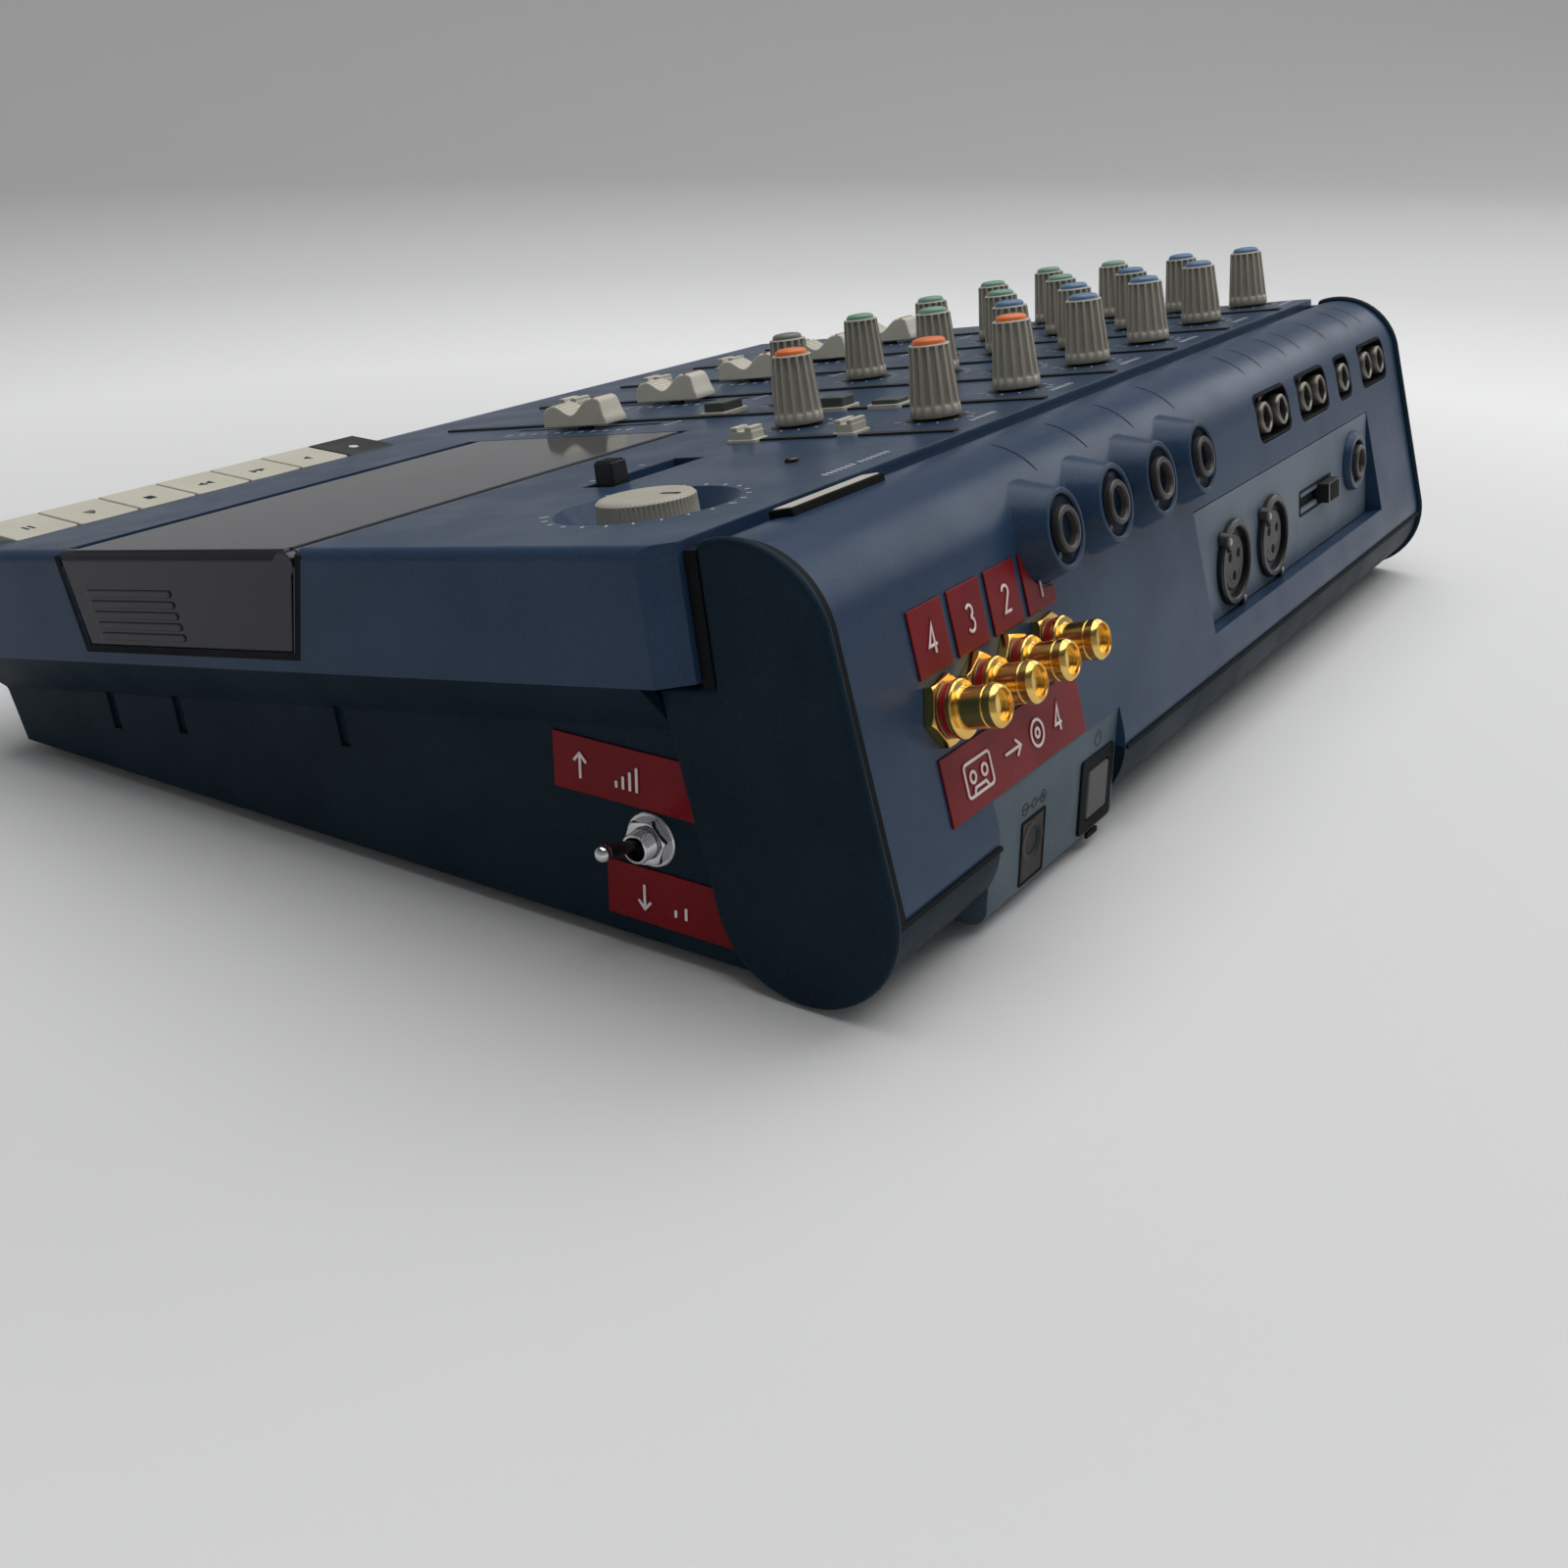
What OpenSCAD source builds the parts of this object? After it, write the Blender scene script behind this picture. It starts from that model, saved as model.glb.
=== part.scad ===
// Four track cassette recorder: a sloping mixer panel with a tape deck in its right side,
// and a rounded connector hump along the rear. X runs to the user's right, Y to the rear.

/* [Case] */
// Width of the upper case across its side lips
case_w = 360; // [340:1:380]
// Depth from the front edge to the back of the end caps
case_d = 263; // [255:1:280]
// Wall thickness of every moulded case part
wall = 2.5; // [2:0.1:3]
// Slope of the control panel in degrees
panel_slope = 9; // [7:0.5:11]
// Height of the control panel at its rear edge
panel_rear_z = 84.3; // [80:0.5:90]
// Height of the side lip of the upper case
lip_h = 25.4; // [24:0.2:28]
// How far the lower case is set in from the side lip
tub_inset = 8; // [6:0.5:10]
// Drop of the slanted shoulder under the side lip
shoulder_h = 10; // [6:0.5:14]
// Height of the rubber feet
foot_h = 3; // [2:0.5:5]

/* [Rear hump] */
// Radius of the rounded end cap outline
cap_r = 19.4; // [18.6:0.1:20.4]
// Distance between the two arc centres of the end cap
cap_len = 49; // [46:0.5:52]
// Forward lean of the rear panel in degrees
rear_lean = 16.5; // [14:0.5:19]
// Thickness of an end cap
cap_t = 2.5; // [2:0.1:3]
// Height of the end caps above the table
cap_clear = 0.5; // [0.3:0.1:1]
// How far the end cap stands above the housing between the caps
cap_rim = 1.2; // [0.4:0.1:1.2]
// Height of the seam between rear housing and lower case
seam_z = 20.6; // [18:0.1:23]
// Width of the groove between control panel and hump
groove_w = 3; // [2:0.25:4]

/* [Mixer] */
// Distance between two mixer columns
column_pitch = 43; // [40:0.5:43]
// Knob diameter at its skirt
knob_d = 12.2; // [11:0.1:13]
// Knob diameter at its cap
knob_top_d = 9.7; // [8:0.1:10.5]
// Knob height
knob_h = 18.6; // [15:0.2:22]
// Diameter of a potentiometer shaft
shaft_d = 6; // [5:0.1:6.4]
// Length of a fader cap
fader_len = 22; // [18:0.5:22]
// Width of a fader cap
fader_w = 10; // [8:0.5:12]
// Height of a fader cap
fader_h = 8.5; // [6:0.5:11]
// Length of a fader slot
slot_len = 51; // [46:0.5:52]
// Width of a fader slot
slot_w = 2; // [1.6:0.1:2.4]
// Diameter of the pitch knob
pitch_knob_d = 20.6; // [18:0.2:22]
// Diameter of the dish around the pitch knob at the panel
dish_d = 37.4; // [34:0.2:40]
// Depth of the dish
dish_h = 5; // [4:0.25:6]

/* [Tape deck] */
// Width of the cassette lid
lid_w = 134; // [130:0.5:136]
// Depth of the cassette lid
lid_d = 71.5; // [70:0.5:73]
// Thickness of the cassette lid
lid_t = 2.5; // [2:0.1:3]
// Height of the lid's side skirt
skirt_h = 21; // [19:0.5:22]
// Finger gap in front of the lid
finger_gap = 4.5; // [4:0.25:6]
// Depth of the cassette tray below the panel face
tray_h = 21; // [20:0.5:22]
// Distance between the two reel spindles
reel_pitch = 42.5; // [42:0.1:43]
// Width of a transport key
key_w = 17.2; // [15:0.2:17.4]
// Distance between two transport keys
key_pitch = 18; // [18:0.1:19]
// Length of a transport key from front to back
key_len = 17; // [15:0.5:18]
// Travel of a transport key
key_travel = 4; // [3:0.25:4.5]
// Radius of the flywheel
flywheel_r = 18; // [16:0.5:20]

/* [Connectors] */
// Distance between two line jacks
jack_pitch = 25.7; // [24:0.1:27]
// Radius of the boss round a line jack
jack_boss_r = 8.4; // [8:0.1:9]
// How far a jack boss stands out
jack_boss_h = 6; // [4:0.25:7]
// Radius of the hole for a plug
plug_bore_r = 3.2; // [3.1:0.05:3.3]
// Radius of a phono barrel
phono_r = 4.15; // [4:0.05:4.3]
// Distance between two added gold phono sockets
gold_pitch = 14.8; // [14.4:0.1:15]
// How far a gold socket stands out
gold_len = 13.2; // [11:0.2:14]
// Radius of a microphone socket
mic_r = 11; // [10.5:0.1:11.5]
// Distance between the microphone sockets
mic_pitch = 30; // [29:0.5:31]
// Radius of the threaded bushing of the toggle switch
bushing_r = 3.1; // [2.9:0.05:3.2]
// How far the bushing stands out of the wall
bushing_len = 5.6; // [5:0.1:7]
// Length of the toggle lever outside its bushing
lever_len = 10.4; // [9:0.2:12]

/* [Hidden] */
$fn = 64;

// Clearance between parts that touch nowhere, and a small overcut for clean cuts
gap = 0.3;
over = 1;

// How far a straight side lies inside the arcs that it joins, so that they cross cleanly
hair = 0.03;

// Hump outline: arc centres of the end cap, and the housing's own radius
hump_r = cap_r - cap_rim;
low_y = case_d / 2 - cap_r;
low_z = cap_r + cap_clear;
top_y = low_y - cap_len * sin(rear_lean);
top_z = low_z + cap_len * cos(rear_lean);
housing_w = case_w - 2 * tub_inset;

// Control panel: its rear edge, its length along the slope
hump_depth = 44.8;
panel_y = case_d / 2 - hump_depth;
panel_len = (case_d / 2 + panel_y) / cos(panel_slope);

// Rear panel: the point where the flat face meets the seam
rear_y = low_y + hump_r / cos(rear_lean) - (seam_z - low_z) * tan(rear_lean);

// Mixer columns and rows on the panel, measured from the panel's rear edge
master_x = 46;

trim_d = -19;
treble_d = -41;
bass_d = -65;
pan_d = -89;
phones_d = -57;
monitor_d = -86;
first_column_x = 10 + 3 * column_pitch - case_w / 2;
fader_pitch = column_pitch - 0.2;
fader_d = -138;
slot_mid_d = -137.5;
separator_x = 67;
separator_w = 1.4;
separator_h = 0.8;
board_z = -14;
board_t = 1.6;
pot_top = -6;

// Small controls: where they sit on the panel
pitch_x = 142.4;
pitch_d = -31.3;
speed_x = 105;
speed_d = -60.3;
speed_len = 34;
speed_w = 8.6;
speed_h = 3;
speed_lever = 5.6;
speed_rest = 11.5;

// Tape deck layout in the panel's frame
lid_x = case_w / 2 - lid_w;
lid_rear = -92;
lid_front = lid_rear - lid_d;
lid_open_rear = lid_rear + 0.9;
lid_open_front = lid_front - finger_gap;
hinge_r = 3;
hinge_d = lid_rear - hinge_r;
hinge_z = -hinge_r;
pin_r = 0.8;
pin_fit = 0.05;
skirt_t = 2.5;
tray_wall = 1.5;
tray_x = lid_x + 2.5;
fader_x = lid_x - 16;
shelf_x = lid_x + 20;
tray_x2 = case_w / 2 - 6;
tray_front = -178;
tray_rear = -92.5;
tray_top = -3.2;
ear_x = [lid_x + 10, case_w / 2 - 14];
ear_w = 3;
ear_r = 1.5;
cassette_x = 119;
reel_d = -124;
capstan_x = cassette_x + 26;
capstan_d = -154;
capstan_r = 1.25;
pinch_d = -168;
pinch_r = 5.5;
bridge_travel = 7;
motor_x = 84;
motor_d = -137;
motor_r = 12;
motor_h = 20;
pulley_r = 5;
key_first_x = case_w / 2 - 20;
key_rear = 20.9 - panel_len;
key_rise = 3;
key_below = 8;
key_gap = 0.4;

// Recessed connector plate on the rear panel
plate_x = 10.8;
plate_x2 = -134.2;
plate_low = 9.3;
plate_high = 39.7;
plate_tilt = 9.6;
plate_t = 1.2;

// Power panel low on the rear
power_x = 70.5;
power_x2 = 131.5;
power_low = 2;
power_high = 29.6;
power_y = rear_y - (power_high - seam_z) * tan(rear_lean) - 0.2;
power_round = 4;
dc_x = 112;
dc_z = 13.7;
button_x = 80.8;
button_z = 14;

// Line jacks, phono sockets, gold sockets along the rear panel
jack_x = 91;
jack_s = 52.7;
phono_s = 52.5;
phono_pitch = 13;
phono_first = [-48.5, -82.5, -118, -141.6];
phono_count = [2, 2, 1, 2];
phono_floor = -7;
gold_x = 142.8;
gold_s = 31.1;
mic_x = -15.2;
mic_s = 21.4;
plate_jack_x = -119;
plate_jack_s = 27.5;
mode_x = -84;
mode_s = 24.5;

// Toggle switch on the right wall of the lower case
wall_x = case_w / 2 - tub_inset;
toggle_y = case_d / 2 - 54.3;
toggle_z = 24.5;
toggle_tilt = 12;

// The whole part is centred over its footprint
ball_r = 1.65;
reach_x = wall_x + 1 + (bushing_len + lever_len - 2) * cos(toggle_tilt) + ball_r;
reach_y = rear_y - gold_s * sin(rear_lean) + gold_len * cos(rear_lean) + phono_r * sin(rear_lean);
mid_x = (reach_x - case_w / 2) / 2;
mid_y = (reach_y - case_d / 2) / 2;

blue = [0.16, 0.27, 0.38];
dark_blue = [0.12, 0.23, 0.30];
cream = [0.80, 0.78, 0.72];
black = [0.08, 0.08, 0.09];
gold = [0.85, 0.65, 0.25];
steel = [0.75, 0.76, 0.78];
red = [0.65, 0.10, 0.16];
blue_cap = [0.35, 0.50, 0.68];
green_cap = [0.45, 0.62, 0.52];
orange = [0.88, 0.42, 0.20];
grey = [0.55, 0.55, 0.55];

// ---------------------------------------------------------------- frames of reference

module placed() translate([-mid_x, -mid_y, 0]) children();

// On the control panel: x across, d along the slope from its rear edge, h above it
module on_panel(x = 0, d = 0, h = 0)
    translate([0, panel_y, panel_rear_z]) rotate([panel_slope, 0, 0]) translate([x, d, h]) children();

// On the rear panel: x across, s up the panel from its seam, out from its face
module on_rear(x = 0, s = 0, out = 0)
    translate([x, rear_y, seam_z]) rotate([90 - rear_lean, 0, 180]) translate([0, s, out]) children();

// On the tilted connector plate, hinged at the top of its recess
module on_plate(x = 0, s = 0, out = 0)
    on_rear(x, plate_high) rotate([plate_tilt, 0, 0]) translate([0, s - plate_high, out]) children();

// A profile drawn in Y and Z, extruded across X about the middle
module across(w, x = 0) translate([x, 0, 0]) rotate([90, 0, 90]) linear_extrude(w, center = true) children();

module block(x0, x1, y0, y1, z0, z1) translate([x0, y0, z0]) cube([x1 - x0, y1 - y0, z1 - z0]);

module round_rect(w, h, r) {
    square([w - 2 * r, h], center = true);
    square([w, h - 2 * r], center = true);
    for (sx = [-1, 1], sy = [-1, 1])
        translate([sx * (w / 2 - r), sy * (h / 2 - r)]) circle(r);
}

// ---------------------------------------------------------------- outlines

// End cap outline: two arcs and the straight sides between them, in Y and Z
module hump_outline(r) {
    translate([low_y, low_z]) circle(r, $fn = 128);
    translate([top_y, top_z]) circle(r, $fn = 128);
    translate([low_y, low_z]) rotate(rear_lean) translate([hair - r, 0]) square([2 * r - 2 * hair, cap_len]);
}

// The room that the upper case takes in front of the hump
module panel_room() translate([panel_y, panel_rear_z]) rotate(panel_slope)
    translate([-panel_len, -lip_h - over]) square([panel_len + groove_w, lip_h + 20]);

// Everything behind the hump's front side and above its seam
function hump_front(z) = low_y - hump_r / cos(rear_lean) - (z - low_z) * tan(rear_lean);
module behind_front() polygon([
    [hump_front(seam_z), seam_z], [hump_front(120), 120], [case_d, 120], [case_d, seam_z]
]);

// Side view of the lower case, with its slanted front and its rounded rear foot
module tub_side(t) {
    front_y = -case_d / 2 + 4.4;
    polygon([
        [front_y + t, 60], [front_y + t, 24.6], [front_y + 8 + t, 15],
        [front_y + 12.5 + t, foot_h + t], [low_y, foot_h + t], [low_y, 60]
    ]);
    translate([low_y, low_z]) circle(hump_r - t, $fn = 128);
}

// Front view of the lower case in the panel's frame: slanted shoulders down from the lip
module tub_front(t, up) {
    shoulder_x = case_w / 2 - 0.6 - t;
    inner_x = wall_x - t;
    polygon([
        [-shoulder_x, up - lip_h], [-inner_x, -lip_h - shoulder_h], [-inner_x, -150],
        [inner_x, -150], [inner_x, -lip_h - shoulder_h], [shoulder_x, up - lip_h]
    ]);
}

module along_panel(d0, d1) on_panel() translate([0, d1, 0]) rotate([90, 0, 0]) linear_extrude(d1 - d0) children();

module panel_block(x0, x1, d0, d1, h0, h1) on_panel() block(x0, x1, d0, d1, h0, h1);

// A rectangular hole or key seen from above the panel, given by its centre
module panel_box(x, d, w, len, h0, h1) panel_block(x - w / 2, x + w / 2, d - len / 2, d + len / 2, h0, h1);

module rod(r, z0, z1) translate([0, 0, z0]) cylinder(r = r, h = z1 - z0);

module cone(r0, r1, z0, z1) translate([0, 0, z0]) cylinder(r1 = r0, r2 = r1, h = z1 - z0);

module ring(r0, r1, z0, z1) difference() {
    rod(r0, z0, z1);
    rod(r1, z0 - over, z1 + over);
}

module hex_nut(r, z0, z1, bore) difference() {
    translate([0, 0, z0]) cylinder(r = r, h = z1 - z0, $fn = 6);
    rod(bore, z0 - over, z1 + over);
}

// ---------------------------------------------------------------- upper case

edge_r = 2.5;
front_r = 4;

module lip_outline() {
    translate([-case_w / 2 + edge_r, -lip_h]) square([case_w - 2 * edge_r, lip_h]);
    translate([-case_w / 2, -lip_h]) square([case_w, lip_h - edge_r]);
    for (s = [-1, 1]) translate([s * (case_w / 2 - edge_r), -edge_r]) circle(edge_r);
}

module nose_outline() {
    translate([-panel_len, -lip_h]) square([panel_len, lip_h - front_r]);
    translate([-panel_len + front_r, -lip_h]) square([panel_len - front_r, lip_h]);
    translate([-panel_len + front_r, -front_r]) circle(front_r);
}

module side_opening() on_panel() rotate([90, 0, 90]) linear_extrude(case_w) polygon([
    [lid_open_front, over], [lid_open_front, 0], [lid_open_front + 3.3, -skirt_h - gap],
    [lid_open_rear - 6.5, -skirt_h - gap], [lid_open_rear, 0], [lid_open_rear, over]
]);

module mixer_holes() {
    for (k = knob_places()) on_panel(k[0], k[1]) rod(shaft_d / 2 + gap, -wall - over, over);
    for (x = fader_places()) panel_box(x, slot_mid_d, slot_w, slot_len, -wall - over, over);
    for (b = switch_places()) panel_box(b[0], b[1], b[2] + 2 * gap, b[3] + 2 * gap, -wall - over, over);
    on_panel(98.6, -25.6) rod(1.6, -wall - over, over);
}

module separators() {
    for (i = [0:4]) panel_box(i == 4 ? -149.5 : 23 - i * 42, -99, separator_w, 194, -separator_h, over);
    panel_box(separator_x, -45, separator_w, 22, -separator_h, over);
    panel_box(separator_x, -15, separator_w, 24, -separator_h, over);
}

function knob_places() = concat(
    [for (i = [0:3], d = [trim_d, treble_d, bass_d, pan_d]) [first_column_x - column_pitch * i, d]],
    [[3, trim_d], [master_x, trim_d], [master_x, phones_d], [3, monitor_d]]
);
function fader_places() = [for (i = [0:4]) fader_x - i * fader_pitch];
function switch_places() = concat(
    [[67.5, -58, 6, 8, 3.5], [63, -32, 7.5, 6, 3.5], [17, -100, 10, 7, 3.5], [22, -61, 7, 8, 3.5]],
    [[22, -45, 7, 8, 2]], [for (i = [1:4]) [fader_x - i * fader_pitch, -177, 8, 9, 3.5]]
);

module upper_case() color(blue) placed() difference() {
    union() {
        difference() {
            intersection() {
                along_panel(-panel_len, 0) lip_outline();
                on_panel() rotate([90, 0, 90]) linear_extrude(case_w, center = true) nose_outline();
            }
            panel_block(wall - case_w / 2, case_w / 2 - wall, wall - panel_len, over, -lip_h - over, -wall);
        }
        for (s = [-1, 1]) on_panel(s * (case_w / 2 - tub_inset / 2 - wall / 2), 0)
            block(-tub_inset / 2 + wall / 2, tub_inset / 2 - wall / 2, -9, 0, -lip_h, -wall);
        on_panel(pitch_x, pitch_d) cone(dish_d / 2 - 3, dish_d / 2 + 2, -dish_h - 2, -wall);
        panel_box(speed_x, speed_d, speed_len + 4, speed_w + 4, -speed_h - 2, -wall);
    }
    // Slanted rear corners of the side lips
    for (s = [-1, 1]) on_panel(s * case_w / 2, 0, -lip_h - over) linear_extrude(lip_h + 2 * over)
        polygon([[s, -6], [0, -6], [-s * 4.5, 0], [-s * 4.5, over], [s, over]]);
    on_panel(pitch_x, pitch_d) cone(dish_d / 2 - 4.2, dish_d / 2, -dish_h, 0.001);
    on_panel(pitch_x, pitch_d) rod(shaft_d / 2 + gap, -dish_h - 3, over);
    panel_box(speed_x, speed_d, speed_len, speed_w, -speed_h, over);
    panel_box(speed_x, speed_d, speed_len - 6, slot_w, -speed_h - 3, over);
    panel_block(lid_x - gap, case_w, lid_open_front, lid_open_rear, -wall - over, over);
    translate([case_w / 2 - wall - over, 0, 0]) side_opening();
    panel_block(key_first_x - 6 * key_pitch - key_w / 2 - key_gap, key_first_x + key_w / 2 + key_gap,
        key_rear - key_len - key_gap, key_rear + key_gap, -wall - over, over);
    mixer_holes();
    separators();
}

// ---------------------------------------------------------------- lower case and feet

foot_x = case_w / 2 - 40;
foot_y = case_d / 2 - 41.5;
screw_x = case_w / 2 - 25;
screw_y = case_d / 2 - 71.5;
feet = [[-foot_x, -foot_y - 2], [foot_x, -foot_y - 2], [-foot_x, foot_y], [foot_x, foot_y]];
screws = [
    [-screw_x, -screw_y], [screw_x, -screw_y], [-screw_x, screw_y], [screw_x, screw_y],
    [0, -foot_y - 2], [0, foot_y - 5]
];
post_r = 4.5;

module power_notch() block(power_x, power_x2, power_y - 14, 150, power_low, power_high);

module lower_case() color(dark_blue) placed() {
    difference() {
        intersection() {
            across(case_w) tub_side(0);
            along_panel(-panel_len - 20, 60) tub_front(0, 0);
        }
        intersection() {
            across(case_w) tub_side(wall);
            along_panel(-panel_len - 20, 60) tub_front(wall, over);
        }
        across(case_w + 20) behind_front();
        for (s = [-1, 1]) across(10, s * (wall_x + 5)) hump_outline(cap_r);
        power_notch();
        for (y = [-76, -52, 1.5]) translate([wall_x, y - 1.5, 0]) rotate([panel_slope, 0, 0])
            translate([-0.9, 0, lip_low_z(y) - 9]) cube([2, 3, 9]);
        for (p = screws) translate([p[0], p[1], 0]) rod(1.7, 0, 12);
        translate([wall_x - 5, toggle_y, toggle_z]) rotate([0, 90, 0]) cylinder(r = bushing_r + 0.1, h = 9);
    }
    // Posts that carry the circuit board and the tape deck
    intersection() {
        for (x = [-150, -60, 30], y = [-80, 40]) translate([x, y, 0]) rod(post_r, foot_h + wall - 0.1, 120);
        panel_block(-case_w, case_w, -case_w, case_w, -200, board_z - board_t);
    }
    intersection() {
        for (p = [[66, -60], [104, -60], [66, -12]]) translate([p[0], p[1], 0]) rod(post_r, foot_h + wall - 0.1, 120);
        panel_block(-case_w, case_w, -case_w, case_w, -200, -tray_h - tray_wall);
    }
}

// Height of the shoulder's lower edge at a place along the side
function lip_low_z(y) = panel_rear_z + (y - panel_y) * tan(panel_slope) - (lip_h + shoulder_h) / cos(panel_slope);

module rubber_feet() color(black) placed() for (p = feet) translate([p[0], p[1], 0]) {
    rod(8, 0, foot_h);
}

module case_screws() color(steel) placed() for (p = screws) translate([p[0], p[1], 0]) {
    rod(3.2, foot_h - 1.2, foot_h);
    rod(1.6, foot_h, foot_h + 8);
}

// ---------------------------------------------------------------- rear hump

module panel_cut(h) translate([panel_y, panel_rear_z]) rotate(panel_slope)
    translate([-60, h]) square([60 + groove_w, 120]);

module housing_outline() difference() {
    hump_outline(hump_r);
    panel_cut(-60);
    translate([0, -50]) square([case_d, 50 + seam_z]);
}

module housing_skin() difference() {
    housing_outline();
    hump_outline(hump_r - wall);
    translate([low_y, seam_z - 20]) rotate(rear_lean) translate([-60, -40]) square([60, 150 - 52]);
}

module jack_row() for (i = [0:3]) on_rear(jack_x - i * jack_pitch, jack_s) children();

module phono_window(i)
    on_rear(phono_first[i] - (phono_count[i] - 1) * phono_pitch / 2, phono_s) children();

module rear_housing() color(blue) placed() difference() {
    union() {
        across(housing_w) housing_skin();
        for (s = [-1, 1]) across(wall, s * (housing_w / 2 - wall / 2)) difference() {
            hump_outline(hump_r);
            panel_cut(-wall);
            translate([0, -50]) square([case_d, 50 + seam_z]);
        }
        // Ledge under the panel, and the groove's rear side
        panel_block(wall - housing_w / 2, housing_w / 2 - wall, -5, groove_w + wall, -wall - 2.5, -wall);
        intersection() {
            panel_block(-housing_w / 2, housing_w / 2, groove_w, groove_w + wall, -6, 5);
            across(housing_w) hump_outline(hump_r);
        }
        jack_row() cone(jack_boss_r + 3, jack_boss_r, -3, jack_boss_h);
        // Frame round the recessed connector plate
        on_rear() block(-plate_x - 2, -plate_x2 + 2, plate_low - 2, plate_high + 2, -10, -wall + 0.1);
        // Blank raised plate beside the groove
        on_panel(135.5, 4, -2.2) rotate([6, 0, 0]) block(-16.5, 16.5, 0, 5, 0, 2.4);
    }
    jack_row() rod(7.2, -40, 20);
    on_rear() block(-plate_x, -plate_x2, plate_low, plate_high, -12, 5);
    for (i = [0:3]) on_rear(gold_place(i), gold_s) rod(bushing_r + 0.1, -6, 4);
    for (i = [0:3]) phono_window(i) translate([0, 0, -9]) linear_extrude(14)
        round_rect(13 + (phono_count[i] - 1) * phono_pitch, 13, 3);
    power_notch();
}

function gold_place(i) = gold_x - i * gold_pitch;

module end_caps() color(blue) placed() for (s = [-1, 1])
    across(cap_t, s * (housing_w / 2 + cap_t / 2)) difference() {
        hump_outline(cap_r);
        translate([panel_y, panel_rear_z]) rotate(panel_slope)
            translate([-60, -lip_h - 1]) square([60 + groove_w, lip_h + 40]);
    }

// ---------------------------------------------------------------- connectors

module connector_plate() color(dark_blue) placed() difference() {
    on_plate() block(-plate_x + 0.1, -plate_x2 - 0.1, plate_low - 0.4, plate_high - 0.35, -plate_t, 0);
    for (i = [0, 1]) on_plate(mic_x - i * mic_pitch, mic_s) rod(mic_r - 1.4, -5, 5);
    on_plate(plate_jack_x, plate_jack_s) rod(6.1, -5, 5);
    on_plate(mode_x, mode_s) block(-14, 14, -1.6, 1.6, -5, 5);
}

module power_plate() color(dark_blue) placed() difference() {
    intersection() {
        block(power_x, power_x2, power_y - 14, power_y, power_low, power_high);
        union() {
            block(power_x, power_x2, 0, 200, power_low + power_round, power_high);
            block(power_x, power_x2, 0, power_y - power_round, power_low, power_high);
            translate([power_x, power_y - power_round, power_low + power_round]) rotate([0, 90, 0])
                cylinder(r = power_round, h = power_x2 - power_x);
        }
    }
    difference() {
        block(power_x + wall, power_x2 - wall, 100, power_y - wall, power_low + wall, power_high - wall);
        translate([dc_x, 0, dc_z]) rotate([-90, 0, 0]) cylinder(r = 5.5, h = 200);
    }
    translate([dc_x, 0, dc_z]) rotate([-90, 0, 0]) cylinder(r = plug_bore_r, h = 200);
    block(button_x - 5.6, button_x + 5.6, 0, 200, button_z - 5.9, button_z + 5.9);
}

module jack_insert(r, h) difference() {
    union() {
        rod(r, -18, h);
        rod(r + 2, -20, -8);
    }
    rod(plug_bore_r, -16, h + over);
}

module phone_jacks() color(black) placed() {
    jack_row() jack_insert(7.1, jack_boss_h + 0.8);
    on_plate(plate_jack_x, plate_jack_s) jack_insert(6, 2);
}

module phono_sockets() color(black) placed() for (i = [0:3]) {
    phono_window(i) difference() {
        union() {
            difference() {
                translate([0, 0, -8.5]) linear_extrude(8.2)
                    round_rect(12.8 + (phono_count[i] - 1) * phono_pitch, 12.8, 2.9);
                translate([0, 0, phono_floor]) linear_extrude(14)
                    round_rect(10.6 + (phono_count[i] - 1) * phono_pitch, 10.6, 1.8);
            }
            for (j = [1:phono_count[i]]) translate([(j - (phono_count[i] + 1) / 2) * phono_pitch, 0, 0])
                rod(phono_r, phono_floor - 0.1, 0.6);
        }
        for (j = [1:phono_count[i]]) translate([(j - (phono_count[i] + 1) / 2) * phono_pitch, 0, 0])
            rod(1.7, phono_floor + 0.5, 2);
    }
}

module gold_sockets() color(gold) placed() for (i = [0:3]) on_rear(gold_place(i), gold_s) difference() {
    union() {
        rod(bushing_r, -7, 0);
        cylinder(r = 7, h = 2.2, $fn = 6);
        rod(4.9, 2.2, 3.6);
        rod(5.6, 3.6, 5);
        rod(phono_r, 5, gold_len);
    }
    rod(1.7, 4, gold_len + over);
}

module mic_sockets() color(black) placed() for (i = [0, 1]) on_plate(mic_x - i * mic_pitch, mic_s)
    difference() {
        union() {
            rod(mic_r - 1.5, -15, 1);
            rod(mic_r, 0, 1.8);
            block(-3.5, 3.5, mic_r - 2, mic_r + 1.5, 0, 1.8);
        }
        ring(mic_r - 2.8, mic_r - 4.2, -2, 4);
        for (a = [30, 150, 270]) rotate(a) translate([3.6, 0, 0]) rod(1.2, -6, 4);
    }

module toggle_bushing() color(steel) placed()
    translate([wall_x, toggle_y, toggle_z]) rotate([0, 90, 0]) difference() {
        union() {
            rod(bushing_r, -wall - 0.1, bushing_len);
            rod(5.6, 0, 0.6);
            translate([0, 0, 0.6]) cylinder(r = 4.9, h = 2, $fn = 6);
            block(-6, 6, -4, 4, -12, -wall);
        }
        rod(bushing_r - 0.6, -3, bushing_len + over);
    }

module toggle_lever() color(black) placed()
    translate([wall_x + 1, toggle_y, toggle_z]) rotate([0, 90 - toggle_tilt, 0]) {
        sphere(r = 1.6);
        rotate([90, 0, 0]) cylinder(r = 0.5, h = 4.6, center = true);
        cone(0.9, 1.1, 0, bushing_len);
        cone(1.1, 1.5, bushing_len, bushing_len + lever_len - 3);
        translate([0, 0, bushing_len + lever_len - 2]) sphere(r = ball_r);
    }

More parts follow.
